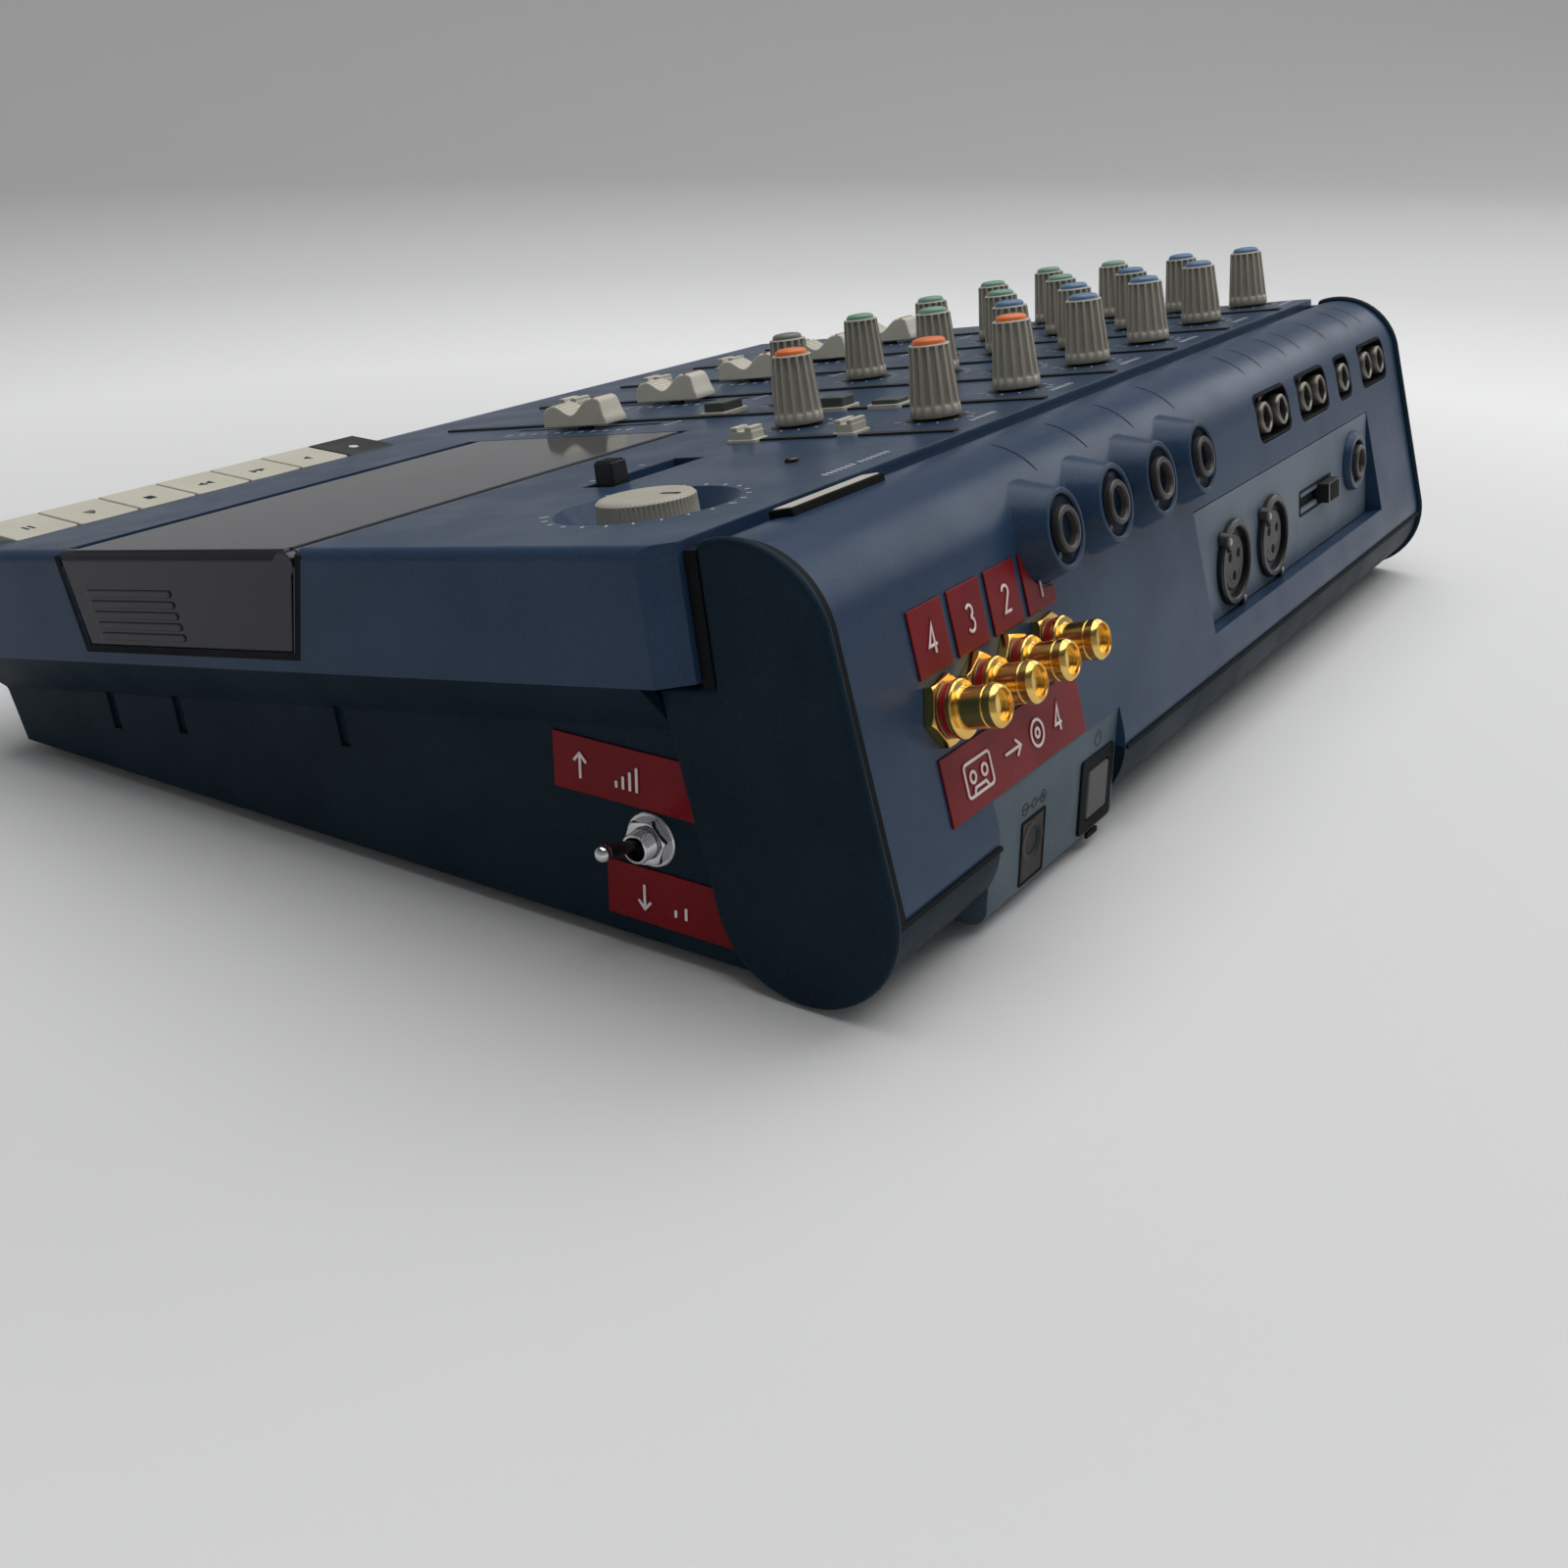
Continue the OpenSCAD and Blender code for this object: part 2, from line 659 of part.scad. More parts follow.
label_t = 0.4;
module red_labels() color(red) placed() {
    difference() {
        for (i = [0:3]) on_rear(141.5 - i * 15.1, 44.7) block(-6.3, 6.3, -6.6, 6.2, 0, label_t);
        jack_row() rod(jack_boss_r + 2.5, -4, 4);
    }
    difference() {
        on_rear() block(-gold_x - 5.2, 59.3 - gold_x - 5.2, 9.8, 23.1, 0, label_t);
        power_notch();
    }
    difference() {
        block(wall_x, wall_x + label_t, 54.3, 90, 30.4, 42);
        across(400) hump_outline(cap_r);
    }
    difference() {
        block(wall_x, wall_x + label_t, 66.5, 100, 6.6, 18.2);
        across(400) hump_outline(cap_r);
    }
}

module panel_switches() color(cream) placed() for (b = switch_places())
    panel_box(b[0], b[1], b[2], b[3], board_z, b[4]);

// ---------------------------------------------------------------- circuit board

module main_board() color([0.1, 0.35, 0.2]) placed() difference() {
    union() {
        panel_block(12 - case_w / 2, lid_x + 0.5, 28.9 - panel_len, -12, board_z - board_t, board_z);
        panel_block(lid_x, case_w / 2 - 12, lid_rear + 6, -12, board_z - board_t, board_z);
        for (k = knob_places()) panel_box(k[0], k[1], 11, 12, board_z - 0.1, pot_top);
        for (x = fader_places()) panel_box(x, slot_mid_d, 8, slot_len + 10, board_z - 0.1, pot_top - 1);
        panel_box(pitch_x, pitch_d, 14, 14, board_z - 0.1, -dish_h - 3.5);
        panel_box(speed_x, speed_d, speed_len, 8, board_z - 0.1, -speed_h - 5.5);
        on_panel(98.6, -25.6) rod(1.5, board_z - 0.1, 0.6);
    }
    for (k = knob_places()) on_panel(k[0], k[1]) rod(shaft_d / 2 + pin_fit, board_z + 1.5, 0);
    on_panel(pitch_x, pitch_d) rod(shaft_d / 2 + pin_fit, board_z + 1.5, 0);
}

// ---------------------------------------------------------------- knobs, faders and slides

module knob(x, d, tone) color(tone) placed() on_panel(x, d) {
    cone(knob_d / 2, knob_top_d / 2, 0.6, knob_h - 0.6);
    cone(knob_top_d / 2, knob_top_d / 2 - 1, knob_h - 0.6, knob_h);
    rod(shaft_d / 2, board_z + 2, 0.7);
}

module channel_knob(i, d, tone) knob(first_column_x - column_pitch * (i - 1), d, tone);

module fader(i) color(cream) placed() on_panel(fader_x - i * fader_pitch, fader_d) {
    block(-slot_w / 2 + gap, slot_w / 2 - gap, -3, 3, pot_top - 0.4, 1.5);
    rotate([90, 0, 90]) linear_extrude(fader_w, center = true) polygon([
        [-fader_len / 2, 1], [fader_len / 2, 1], [fader_len / 2 - 2, fader_h],
        [fader_len / 2 - 7, fader_h], [1, fader_h * 0.62], [-3, fader_h * 0.55],
        [-fader_len / 2 + 5, fader_h * 0.8], [-fader_len / 2 + 1, fader_h * 0.8]
    ]);
}

module pitch_knob() color(cream) placed() on_panel(pitch_x, pitch_d) {
    cone(pitch_knob_d / 2, pitch_knob_d / 2 - 0.6, -dish_h + 0.4, 1.2);
    cone(pitch_knob_d / 2 - 0.6, pitch_knob_d / 2 - 1.6, 1.2, 2.2);
    rod(shaft_d / 2, board_z + 2, -dish_h + 0.5);
}

module speed_slide() color(black) placed() {
    panel_box(speed_x + speed_rest, speed_d, speed_lever, 5.4, -speed_h + gap, 5);
    panel_box(speed_x + speed_rest, speed_d, 3, slot_w - 2 * gap, -speed_h - 5, -speed_h + 1);
}

module power_button() color([0.4, 0.42, 0.44]) placed()
    block(button_x - 5.3, button_x + 5.3, power_y - 12, power_y + 1.2, button_z - 5.6, button_z + 5.6);

// ---------------------------------------------------------------- tape deck

module deck_tray() color(black) placed() difference() {
    union() {
        difference() {
            panel_block(tray_x, tray_x2, tray_front, tray_rear, -tray_h - tray_wall, tray_top);
            panel_block(tray_x + tray_wall, tray_x2 - tray_wall, tray_front + tray_wall,
                tray_rear - tray_wall, -tray_h, over);
            panel_block(0, case_w, -100, -80, -6.6, over);
        }
        panel_block(tray_x + 1, shelf_x, -160, -101, -tray_h, -5);
        for (x = ear_x) on_panel(x + ear_w / 2, 0) {
            block(-ear_w / 2, ear_w / 2, hinge_d - ear_r, hinge_d + ear_r, -8, hinge_z);
            translate([-ear_w / 2, hinge_d, hinge_z]) rotate([0, 90, 0]) cylinder(r = ear_r, h = ear_w);
            block(-ear_w / 2, ear_w / 2, hinge_d - ear_r, tray_rear - 1, -10, -6.6);
        }
        // Bearing bosses under the floor
        for (p = spindles()) on_panel(p[0], p[1]) rod(4, -tray_h - 3.5, -tray_h);
        on_panel(capstan_x, capstan_d) rod(3.5, -tray_h - tray_wall, -tray_h + 0.1);
    }
    for (p = spindles()) on_panel(p[0], p[1]) rod(1.5 + pin_fit, -tray_h - 9, over);
    on_panel(capstan_x, capstan_d) rod(capstan_r + pin_fit, -tray_h - 9, over);
    on_panel(0, hinge_d, hinge_z) rotate([0, 90, 0]) rod(pin_r + pin_fit, 40, 176);
}

function spindles() = [for (s = [-1, 1]) [cassette_x + s * reel_pitch / 2, reel_d]];

module cassette_lid() color([0.2, 0.2, 0.24]) placed() difference() {
    union() {
        panel_block(lid_x + gap, case_w / 2 - 1, lid_front, hinge_d, -lid_t, 0);
        on_panel(0, hinge_d, hinge_z) rotate([0, 90, 0]) {
            rod(hinge_r, lid_x + gap, case_w / 2 - skirt_t);
            rod(hinge_r - gap, case_w / 2 - skirt_t - 0.1, case_w / 2);
        }
        intersection() {
            on_panel() rotate([90, 0, 90]) linear_extrude(case_w / 2) polygon([
                [lid_open_front + 0.4, 0], [lid_open_front + 4.2, -skirt_h],
                [lid_open_rear - 6.9, -skirt_h], [hinge_d + 1.5, -5.6], [hinge_d, 0]
            ]);
            along_panel(-panel_len, 0) lip_outline();
            panel_block(case_w / 2 - skirt_t, case_w, -case_w, 0, -case_w, over);
        }
    }
    for (x = ear_x) on_panel(0, hinge_d, hinge_z) {
        translate([x - gap, 0, 0]) rotate([0, 90, 0]) cylinder(r = ear_r + gap, h = ear_w + 2 * gap);
        block(x - gap, x + ear_w + gap, -ear_r - gap, hinge_r + over, -hinge_r - over, ear_r + gap);
    }
}

module hub(s) color([0.7, 0.7, 0.7]) placed() on_panel(cassette_x + s * reel_pitch / 2, reel_d) {
    rod(4.4, -tray_h + 0.4, -tray_h + 3);
    cone(3.8, 3, -tray_h + 3, -tray_h + 10);
    for (a = [0:60:300]) rotate(a) block(2, 4.7, -0.6, 0.6, -tray_h + 3, -tray_h + 8);
    rod(1.5, -tray_h - 6, -tray_h + 1);
}

module take_up_hub() hub(1);
module supply_hub() hub(-1);

module capstan_flywheel() color(steel) placed() on_panel(capstan_x, capstan_d) {
    rod(capstan_r, -tray_h - 4, -tray_h + 14);
    rod(flywheel_r, -tray_h - 9, -tray_h - 4);
}

module head_bridge() color(steel) placed() {
    panel_block(cassette_x - 23, cassette_x + 33, tray_front + 2, tray_front + 14, -tray_h + 0.4, -tray_h + 2);
    panel_box(cassette_x, pinch_d - 1, 13, 7, -tray_h + 1.9, -tray_h + 12);
    panel_box(cassette_x - 18, pinch_d - 1, 7, 6, -tray_h + 1.9, -tray_h + 12);
    on_panel(capstan_x, pinch_d) rod(1, -tray_h + 1.9, -tray_h + 12);
}

module pinch_roller() color(black) placed() on_panel(capstan_x, pinch_d)
    ring(pinch_r, 1 + pin_fit, -tray_h + 2.5, -tray_h + 11);

module drive_motor() color(steel) placed() on_panel(motor_x, motor_d) {
    rod(motor_r, -tray_h - tray_wall - motor_h, -tray_h - tray_wall);
}

module key(i, tone) color(tone) placed() on_panel(key_first_x - i * key_pitch, key_rear)
    rotate([90, 0, 90]) linear_extrude(key_w, center = true) polygon([
        [0, -key_below], [-key_len, -key_below], [-key_len, key_rise], [-key_len + 0.6, key_rise + 0.3], [0, 0.4]
    ]);

module pause_key() key(0, cream);
module eject_key() key(1, cream);
module stop_key() key(2, cream);
module forward_key() key(3, cream);
module rewind_key() key(4, cream);
module play_key() key(5, cream);
module record_key() key(6, [0.25, 0.25, 0.27]);

// ---------------------------------------------------------------- the parts

upper_case();
lower_case();
rear_housing();
end_caps();
connector_plate();
power_plate();
rubber_feet();
case_screws();
phone_jacks();
phono_sockets();
gold_sockets();
mic_sockets();
toggle_bushing();
red_labels();
panel_switches();
deck_tray();
drive_motor();
main_board();
cassette_lid();
take_up_hub();
supply_hub();
capstan_flywheel();
pinch_roller();
head_bridge();
toggle_lever();
power_button();
pitch_knob();
speed_slide();
record_key();
play_key();
rewind_key();
forward_key();
stop_key();
eject_key();
pause_key();
fader(4);  // fader_1
fader(3);  // fader_2
fader(2);  // fader_3
fader(1);  // fader_4
fader(0);  // master_fader
channel_knob(4, trim_d, blue_cap);  // trim_knob_1
channel_knob(3, trim_d, blue_cap);  // trim_knob_2
channel_knob(2, trim_d, blue_cap);  // trim_knob_3
channel_knob(1, trim_d, blue_cap);  // trim_knob_4
channel_knob(4, treble_d, blue_cap);  // treble_knob_1
channel_knob(3, treble_d, blue_cap);  // treble_knob_2
channel_knob(2, treble_d, blue_cap);  // treble_knob_3
channel_knob(1, treble_d, blue_cap);  // treble_knob_4
channel_knob(4, bass_d, green_cap);  // bass_knob_1
channel_knob(3, bass_d, green_cap);  // bass_knob_2
channel_knob(2, bass_d, green_cap);  // bass_knob_3
channel_knob(1, bass_d, green_cap);  // bass_knob_4
channel_knob(4, pan_d, green_cap);  // pan_knob_1
channel_knob(3, pan_d, green_cap);  // pan_knob_2
channel_knob(2, pan_d, green_cap);  // pan_knob_3
channel_knob(1, pan_d, green_cap);  // pan_knob_4
knob(3, trim_d, orange);  // return_knob_1
knob(master_x, trim_d, orange);  // return_knob_2
knob(master_x, phones_d, orange);  // phones_knob
knob(3, monitor_d, grey);  // monitor_knob
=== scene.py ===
# %% [markdown]
# # A four track cassette recorder
# The construction is already solid: sixty named parts in one frame. This lesson dresses it.
# Each cell takes one piece or one finish of the real recorder, says what it is, and makes it in place.
# Nothing here moves a part of the frame: a new piece either covers a part or stands for it.

# %% Load the frame
import math

import bmesh
import bpy
from mathutils import Matrix, Vector


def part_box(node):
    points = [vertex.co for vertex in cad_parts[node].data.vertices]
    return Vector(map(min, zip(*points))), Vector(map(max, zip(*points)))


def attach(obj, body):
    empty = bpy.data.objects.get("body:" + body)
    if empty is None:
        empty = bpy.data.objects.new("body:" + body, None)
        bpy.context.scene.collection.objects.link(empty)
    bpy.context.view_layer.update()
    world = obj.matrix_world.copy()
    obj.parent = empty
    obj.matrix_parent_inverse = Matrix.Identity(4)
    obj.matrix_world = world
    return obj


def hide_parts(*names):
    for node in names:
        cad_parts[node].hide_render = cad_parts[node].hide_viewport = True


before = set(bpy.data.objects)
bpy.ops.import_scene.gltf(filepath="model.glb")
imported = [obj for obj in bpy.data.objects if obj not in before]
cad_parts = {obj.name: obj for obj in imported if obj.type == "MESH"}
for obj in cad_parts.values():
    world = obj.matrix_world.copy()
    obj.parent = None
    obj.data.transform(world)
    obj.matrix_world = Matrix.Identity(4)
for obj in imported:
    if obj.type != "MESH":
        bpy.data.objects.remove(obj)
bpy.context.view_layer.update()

# %% [markdown]
# ## Frames of reference
# The recorder has four faces that carry things: the sloping control panel, the leaning rear panel, the
# connector plate that sinks into it, and the upright power plate. A maker measures on a face, in
# millimetres, so each face gets a matrix that turns its own millimetres into the frame's metres.

# %% Faces of the case
MM = 0.001
case_w = 360.0
case_d = 263.0
cap_out = 174.5
panel_slope = math.radians(9)
rear_lean = math.radians(16.5)
plate_tilt = math.radians(9.6)
panel_y = 86.7
panel_z = 84.3
rear_y = 130.874
seam_z = 20.6
plate_high = 39.7
wall_x = 172.0
panel_len = (case_d / 2 + panel_y) / math.cos(panel_slope)

shift_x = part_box("end_caps")[1].x / MM - cap_out
shift_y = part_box("end_caps")[1].y / MM - case_d / 2


def move(x=0.0, y=0.0, z=0.0):
    return Matrix.Translation((x, y, z))


def turn(angle, axis):
    return Matrix.Rotation(angle, 4, axis)


row = Matrix.Scale(MM, 4) @ move(shift_x, shift_y)


def on_panel(x=0.0, d=0.0, h=0.0):
    """x across, d along the slope from its rear edge, h above it."""
    return row @ move(0, panel_y, panel_z) @ turn(panel_slope, "X") @ move(x, d, h)


def on_rear(x=0.0, s=0.0, out=0.0):
    """x across the row, s up the rear panel from its seam, out from its face. Local x runs the other way."""
    tilt = turn(math.pi, "Z") @ turn(math.pi / 2 - rear_lean, "X")
    return row @ move(x, rear_y, seam_z) @ tilt @ move(0, s, out)


def on_plate(x=0.0, s=0.0, out=0.0):
    return on_rear(x, plate_high) @ turn(plate_tilt, "X") @ move(0, s - plate_high, out)


def on_wall(y=0.0, z=0.0, out=0.0):
    """On the right wall of the lower case: local x runs to the rear, local y up, local z out."""
    return row @ move(wall_x + out, y, z) @ Matrix(((0, 0, 1), (1, 0, 0), (0, 1, 0))).to_4x4()


def on_power(x=0.0, z=0.0, out=0.0):
    """On the upright power plate, seen from behind: local x runs against the row's x, local y up."""
    face_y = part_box("power_plate")[1].y / MM - shift_y
    return row @ move(x, face_y + out, z) @ Matrix(((-1, 0, 0), (0, 0, 1), (0, 1, 0))).to_4x4()


print("shift in mm", round(shift_x, 3), round(shift_y, 3))
print("panel length in mm", round(panel_len, 1))

# %% [markdown]
# ## The camera
# The photograph was taken from close behind the right rear corner, a little above the case. Its place and
# lens were worked out from corners of the case. A close lens makes the near corner large and lets the keys
# at the far left shrink away.

# %% Camera
photo_side = 1600
focal_px = 1806.92
sensor_mm = 36.0
camera_place = Vector((409.18, 258.81, 165.51)) * MM
camera_right = Vector((-0.53985703, 0.84175083, 0.00315185))
camera_up = Vector((-0.33003618, -0.21511036, 0.91913201))
camera_back = camera_right.cross(camera_up)

eye = bpy.data.cameras.new("eye")
eye.sensor_width = sensor_mm
eye.lens = focal_px / photo_side * sensor_mm
eye.clip_start = 0.01
eye.clip_end = 20
camera = bpy.data.objects.new("camera", eye)
camera.matrix_world = Matrix.Translation(camera_place) @ Matrix(
    (camera_right, camera_up, camera_back)).transposed().to_4x4()
bpy.context.scene.collection.objects.link(camera)
bpy.context.scene.camera = camera
print("lens in mm", round(eye.lens, 2))

# %% [markdown]
# ## Shader groups
# Several finishes share the same small effects, so each effect is a node group with its own inputs. A group
# gives out only a mask, a height, a colour or a normal. The shader that uses them stays in its material.

# %% Building node groups
def new_group(name, inputs, outputs):
    """A node group with float inputs (name: value) and outputs (name: socket kind)."""
    group = bpy.data.node_groups.new(name, "ShaderNodeTree")
    for label, value in inputs.items():
        socket = group.interface.new_socket(label, in_out="INPUT", socket_type="NodeSocketFloat")
        socket.default_value = value
    for label, kind in outputs.items():
        group.interface.new_socket(label, in_out="OUTPUT", socket_type="NodeSocket" + kind)
    return group, group.nodes.new("NodeGroupInput"), group.nodes.new("NodeGroupOutput")


def put(tree, kind, **values):
    """A new node, with its own settings first and then its input values."""
    node = tree.nodes.new("ShaderNode" + kind)
    for key, value in values.items():
        if hasattr(node, key):
            setattr(node, key, value)
        else:
            node.inputs[key.replace("_", " ")].default_value = value
    return node


def math_node(tree, operation, a, b=None, clamp=False):
    node = tree.nodes.new("ShaderNodeMath")
    node.operation = operation
    node.use_clamp = clamp
    for socket, value in zip(node.inputs, (a, b)):
        if isinstance(value, bpy.types.NodeSocket):
            tree.links.new(value, socket)
        elif value is not None:
            socket.default_value = value
    return node.outputs[0]


def spread(tree, value, low, high, to_low=0.0, to_high=1.0):
    """Maps low..high to to_low..to_high, clamped."""
    node = tree.nodes.new("ShaderNodeMapRange")
    node.interpolation_type = "SMOOTHSTEP"
    tree.links.new(value, node.inputs["Value"])
    for label, number in (("From Min", low), ("From Max", high), ("To Min", to_low), ("To Max", to_high)):
        if isinstance(number, bpy.types.NodeSocket):
            tree.links.new(number, node.inputs[label])
        else:
            node.inputs[label].default_value = number
    return node.outputs["Result"]


def noise(tree, scale, detail=2.0, roughness=0.5, stretch=None):
    """Noise in the object's own metres, so that it stays put when the piece moves."""
    place = tree.nodes.new("ShaderNodeTexCoord").outputs["Object"]
    if stretch:
        mapping = put(tree, "Mapping")
        mapping.inputs["Scale"].default_value = stretch
        tree.links.new(place, mapping.inputs["Vector"])
        place = mapping.outputs[0]
    node = put(tree, "TexNoise", Detail=detail, Roughness=roughness)
    tree.links.new(place, node.inputs["Vector"])
    if isinstance(scale, bpy.types.NodeSocket):
        tree.links.new(scale, node.inputs["Scale"])
    else:
        node.inputs["Scale"].default_value = scale
    return node.outputs["Fac"]


print("helpers for node groups are ready")

# %% [markdown]
# ### Grain
# Moulded plastic and sprayed paint are never mirror smooth. A fine noise gives both a height for the bump
# and a value that lets the gloss wander a little.

# %% Grain group
grain_group, gin, gout = new_group(
    "grain", {"Scale": 2500.0, "Broad": 40.0}, {"Height": "Float", "Cloud": "Float"})
fine = noise(grain_group, gin.outputs["Scale"], 3.0, 0.6)
cloud = noise(grain_group, gin.outputs["Broad"], 3.0, 0.55)
grain_group.links.new(fine, gout.inputs["Height"])
grain_group.links.new(cloud, gout.inputs["Cloud"])
print("grain", len(grain_group.nodes), "nodes")

# %% [markdown]
# ### Edge wear
# Hands and bags rub paint off edges first. The Bevel node looks a short way round each point: where its
# rounded normal differs from the true one there is an edge. The same normal also softens the highlight of
# every sharp edge, which is what tells the eye that a case is moulded and not cut from paper.

# %% Edge wear group
wear_group, win, wout = new_group(
    "edge_wear", {"Width": 0.0006, "Amount": 0.5}, {"Mask": "Float", "Normal": "Vector"})
rounded = put(wear_group, "Bevel", samples=4)
wear_group.links.new(win.outputs["Width"], rounded.inputs["Radius"])
true_normal = wear_group.nodes.new("ShaderNodeNewGeometry").outputs["Normal"]
agree = wear_group.nodes.new("ShaderNodeVectorMath")
agree.operation = "DOT_PRODUCT"
wear_group.links.new(rounded.outputs[0], agree.inputs[0])
wear_group.links.new(true_normal, agree.inputs[1])
edge = spread(wear_group, agree.outputs["Value"], 0.985, 0.80)
broken = spread(wear_group, noise(wear_group, 90.0, 4.0, 0.7), 0.45, 0.65)
mask = math_node(wear_group, "MULTIPLY", math_node(wear_group, "MULTIPLY", edge, broken), win.outputs["Amount"])
wear_group.links.new(mask, wout.inputs["Mask"])
wear_group.links.new(rounded.outputs[0], wout.inputs["Normal"])
print("edge wear", len(wear_group.nodes), "nodes")

# %% [markdown]
# ### Dust
# Dust settles on what faces up. The mask is the upward part of the normal times a speckle, and it stays thin:
# the real recorder is clean.

# %% Dust group
dust_group, din, dout = new_group("dust", {"Amount": 0.25, "Scale": 900.0}, {"Mask": "Float"})
split = dust_group.nodes.new("ShaderNodeSeparateXYZ")
dust_group.links.new(dust_group.nodes.new("ShaderNodeNewGeometry").outputs["Normal"], split.inputs[0])
upward = spread(dust_group, split.outputs["Z"], 0.35, 0.98)
speck = spread(dust_group, noise(dust_group, din.outputs["Scale"], 2.0, 0.6), 0.62, 0.74)
haze = spread(dust_group, noise(dust_group, 22.0, 3.0, 0.6), 0.35, 0.8, 0.25, 1.0)
settled = math_node(dust_group, "MULTIPLY", math_node(dust_group, "MULTIPLY", speck, haze), upward)
dust_group.links.new(math_node(dust_group, "MULTIPLY", settled, din.outputs["Amount"]), dout.inputs["Mask"])
print("dust", len(dust_group.nodes), "nodes")

# %% [markdown]
# ### Metal flake
# The case is sprayed with a blue paint that holds fine aluminium flakes. Each Voronoi cell is one flake with
# its own small brightness.

# %% Flake group
flake_group, fin, fout = new_group("flake", {"Scale": 4500.0}, {"Spark": "Float"})
cells = put(flake_group, "TexVoronoi")
flake_group.links.new(flake_group.nodes.new("ShaderNodeTexCoord").outputs["Object"], cells.inputs["Vector"])
flake_group.links.new(fin.outputs["Scale"], cells.inputs["Scale"])
tint = flake_group.nodes.new("ShaderNodeSeparateColor")
flake_group.links.new(cells.outputs["Color"], tint.inputs[0])
flake_group.links.new(tint.outputs[0], fout.inputs["Spark"])
print("flake", len(flake_group.nodes), "nodes")

# %% [markdown]
# ## The finishes
# One function builds every finish from the same parts: a colour that wanders, wear on edges, dust on top and
# a roughness and bump from the grain. Each real material then only states its own numbers.

# %% One recipe for a finish
finishes = {}
flake_tone = (0.75, 0.82, 0.9)
dust_tone = (0.62, 0.6, 0.57)


def mix_colour(tree, factor, a, b):
    node = tree.nodes.new("ShaderNodeMix")
    node.data_type = "RGBA"
    for socket, value in ((node.inputs["Factor"], factor), (node.inputs["A"], a), (node.inputs["B"], b)):
        if isinstance(value, bpy.types.NodeSocket):
            tree.links.new(value, socket)
        elif isinstance(value, (int, float)):
            socket.default_value = value
        else:
            socket.default_value = (*value, 1.0)
    return node.outputs["Result"]


def placed_group(tree, group, **values):
    node = tree.nodes.new("ShaderNodeGroup")
    node.node_tree = group
    for key, value in values.items():
        node.inputs[key].default_value = value
    return node


def finish(name, colour, second, rough=(0.4, 0.5), metal=0.0, grain=2500.0, broad=40.0, bump=0.1,
           grain_mm=0.02, worn=None, wear=0.0, edge_mm=0.5, dust=0.1, spark=0.0, specular=0.5):
    """colour and second are the two ends of the colour's slow change over the surface."""
    material = bpy.data.materials.new(name)
    material.use_nodes = True
    tree = material.node_tree
    shader = tree.nodes["Principled BSDF"]
    grains = placed_group(tree, grain_group, Scale=grain, Broad=broad)
    edges = placed_group(tree, wear_group, Width=edge_mm * MM, Amount=wear)
    settled = placed_group(tree, dust_group, Amount=dust)
    tone = mix_colour(tree, spread(tree, grains.outputs["Cloud"], 0.3, 0.7), colour, second)
    if spark:
        flakes = placed_group(tree, flake_group)
        bright = spread(tree, flakes.outputs["Spark"], 0.6, 1.0, 0.0, spark)
        tone = mix_colour(tree, bright, tone, flake_tone)
    tone = mix_colour(tree, edges.outputs["Mask"], tone, worn or tuple(min(1, 1.7 * c + 0.03) for c in colour))
    tone = mix_colour(tree, settled.outputs["Mask"], tone, dust_tone)
    tree.links.new(tone, shader.inputs["Base Color"])
    shine = spread(tree, grains.outputs["Cloud"], 0.3, 0.7, rough[0], rough[1])
    shine = math_node(tree, "ADD", shine, math_node(tree, "MULTIPLY", settled.outputs["Mask"], 0.4), True)
    tree.links.new(shine, shader.inputs["Roughness"])
    relief = put(tree, "Bump", Strength=bump, Distance=grain_mm * MM)
    tree.links.new(grains.outputs["Height"], relief.inputs["Height"])
    tree.links.new(edges.outputs["Normal"], relief.inputs["Normal"])
    tree.links.new(relief.outputs[0], shader.inputs["Normal"])
    shader.inputs["Metallic"].default_value = metal
    shader.inputs["Specular IOR Level"].default_value = specular
    finishes[name] = material


def srgb(r, g, b):
    """A screen colour, 0 to 255, as the linear colour that a shader takes."""
    return tuple(((v / 255 + 0.055) / 1.055) ** 2.4 if v > 10 else v / 255 / 12.92 for v in (r, g, b))


print("recipe ready")

# %% [markdown]
# ### Paint, plastics and metals
# The numbers come from the photograph: a deep blue metallic paint with a half gloss, warm grey knob plastic,
# cream keys, smoked lid, bright gold plate, chrome and dark red embossing tape.

# %% The recorder's finishes
finish("blue_paint", srgb(40, 63, 90), srgb(35, 57, 83), rough=(0.28, 0.36), bump=0.2, grain=1800, wear=0.3,
       worn=srgb(84, 106, 128), edge_mm=0.5, dust=0.08, spark=0.02, specular=0.2)
# The darker, greener copy of the blue for the lower case and end caps: its darkness is painted shade.
finish("blue_painted_shade", srgb(18, 38, 51), srgb(14, 33, 45), rough=(0.42, 0.52), bump=0.3, grain=1500,
       grain_mm=0.03, wear=0.25, worn=srgb(58, 78, 94), edge_mm=0.6, dust=0.05, spark=0.01, specular=0.08)
finish("plate_paint", srgb(96, 110, 124), srgb(88, 102, 116), rough=(0.42, 0.5), bump=0.25, grain=1800,
       wear=0.2, edge_mm=0.4, dust=0.05, spark=0.04, specular=0.2)
finish("power_paint", srgb(78, 96, 107), srgb(70, 88, 99), rough=(0.4, 0.5), bump=0.25, grain=1800, wear=0.2,
       edge_mm=0.4, dust=0.04, spark=0.02, specular=0.2)
finish("knob_plastic", srgb(184, 179, 165), srgb(174, 169, 154), rough=(0.36, 0.46), bump=0.2, grain=2600,
       wear=0.4, worn=srgb(226, 223, 214), edge_mm=0.2, dust=0.12)
finish("cream_plastic", srgb(206, 202, 187), srgb(197, 192, 176), rough=(0.36, 0.46), bump=0.2, grain=2200,
       wear=0.25, worn=srgb(230, 227, 216), edge_mm=0.3, dust=0.12)
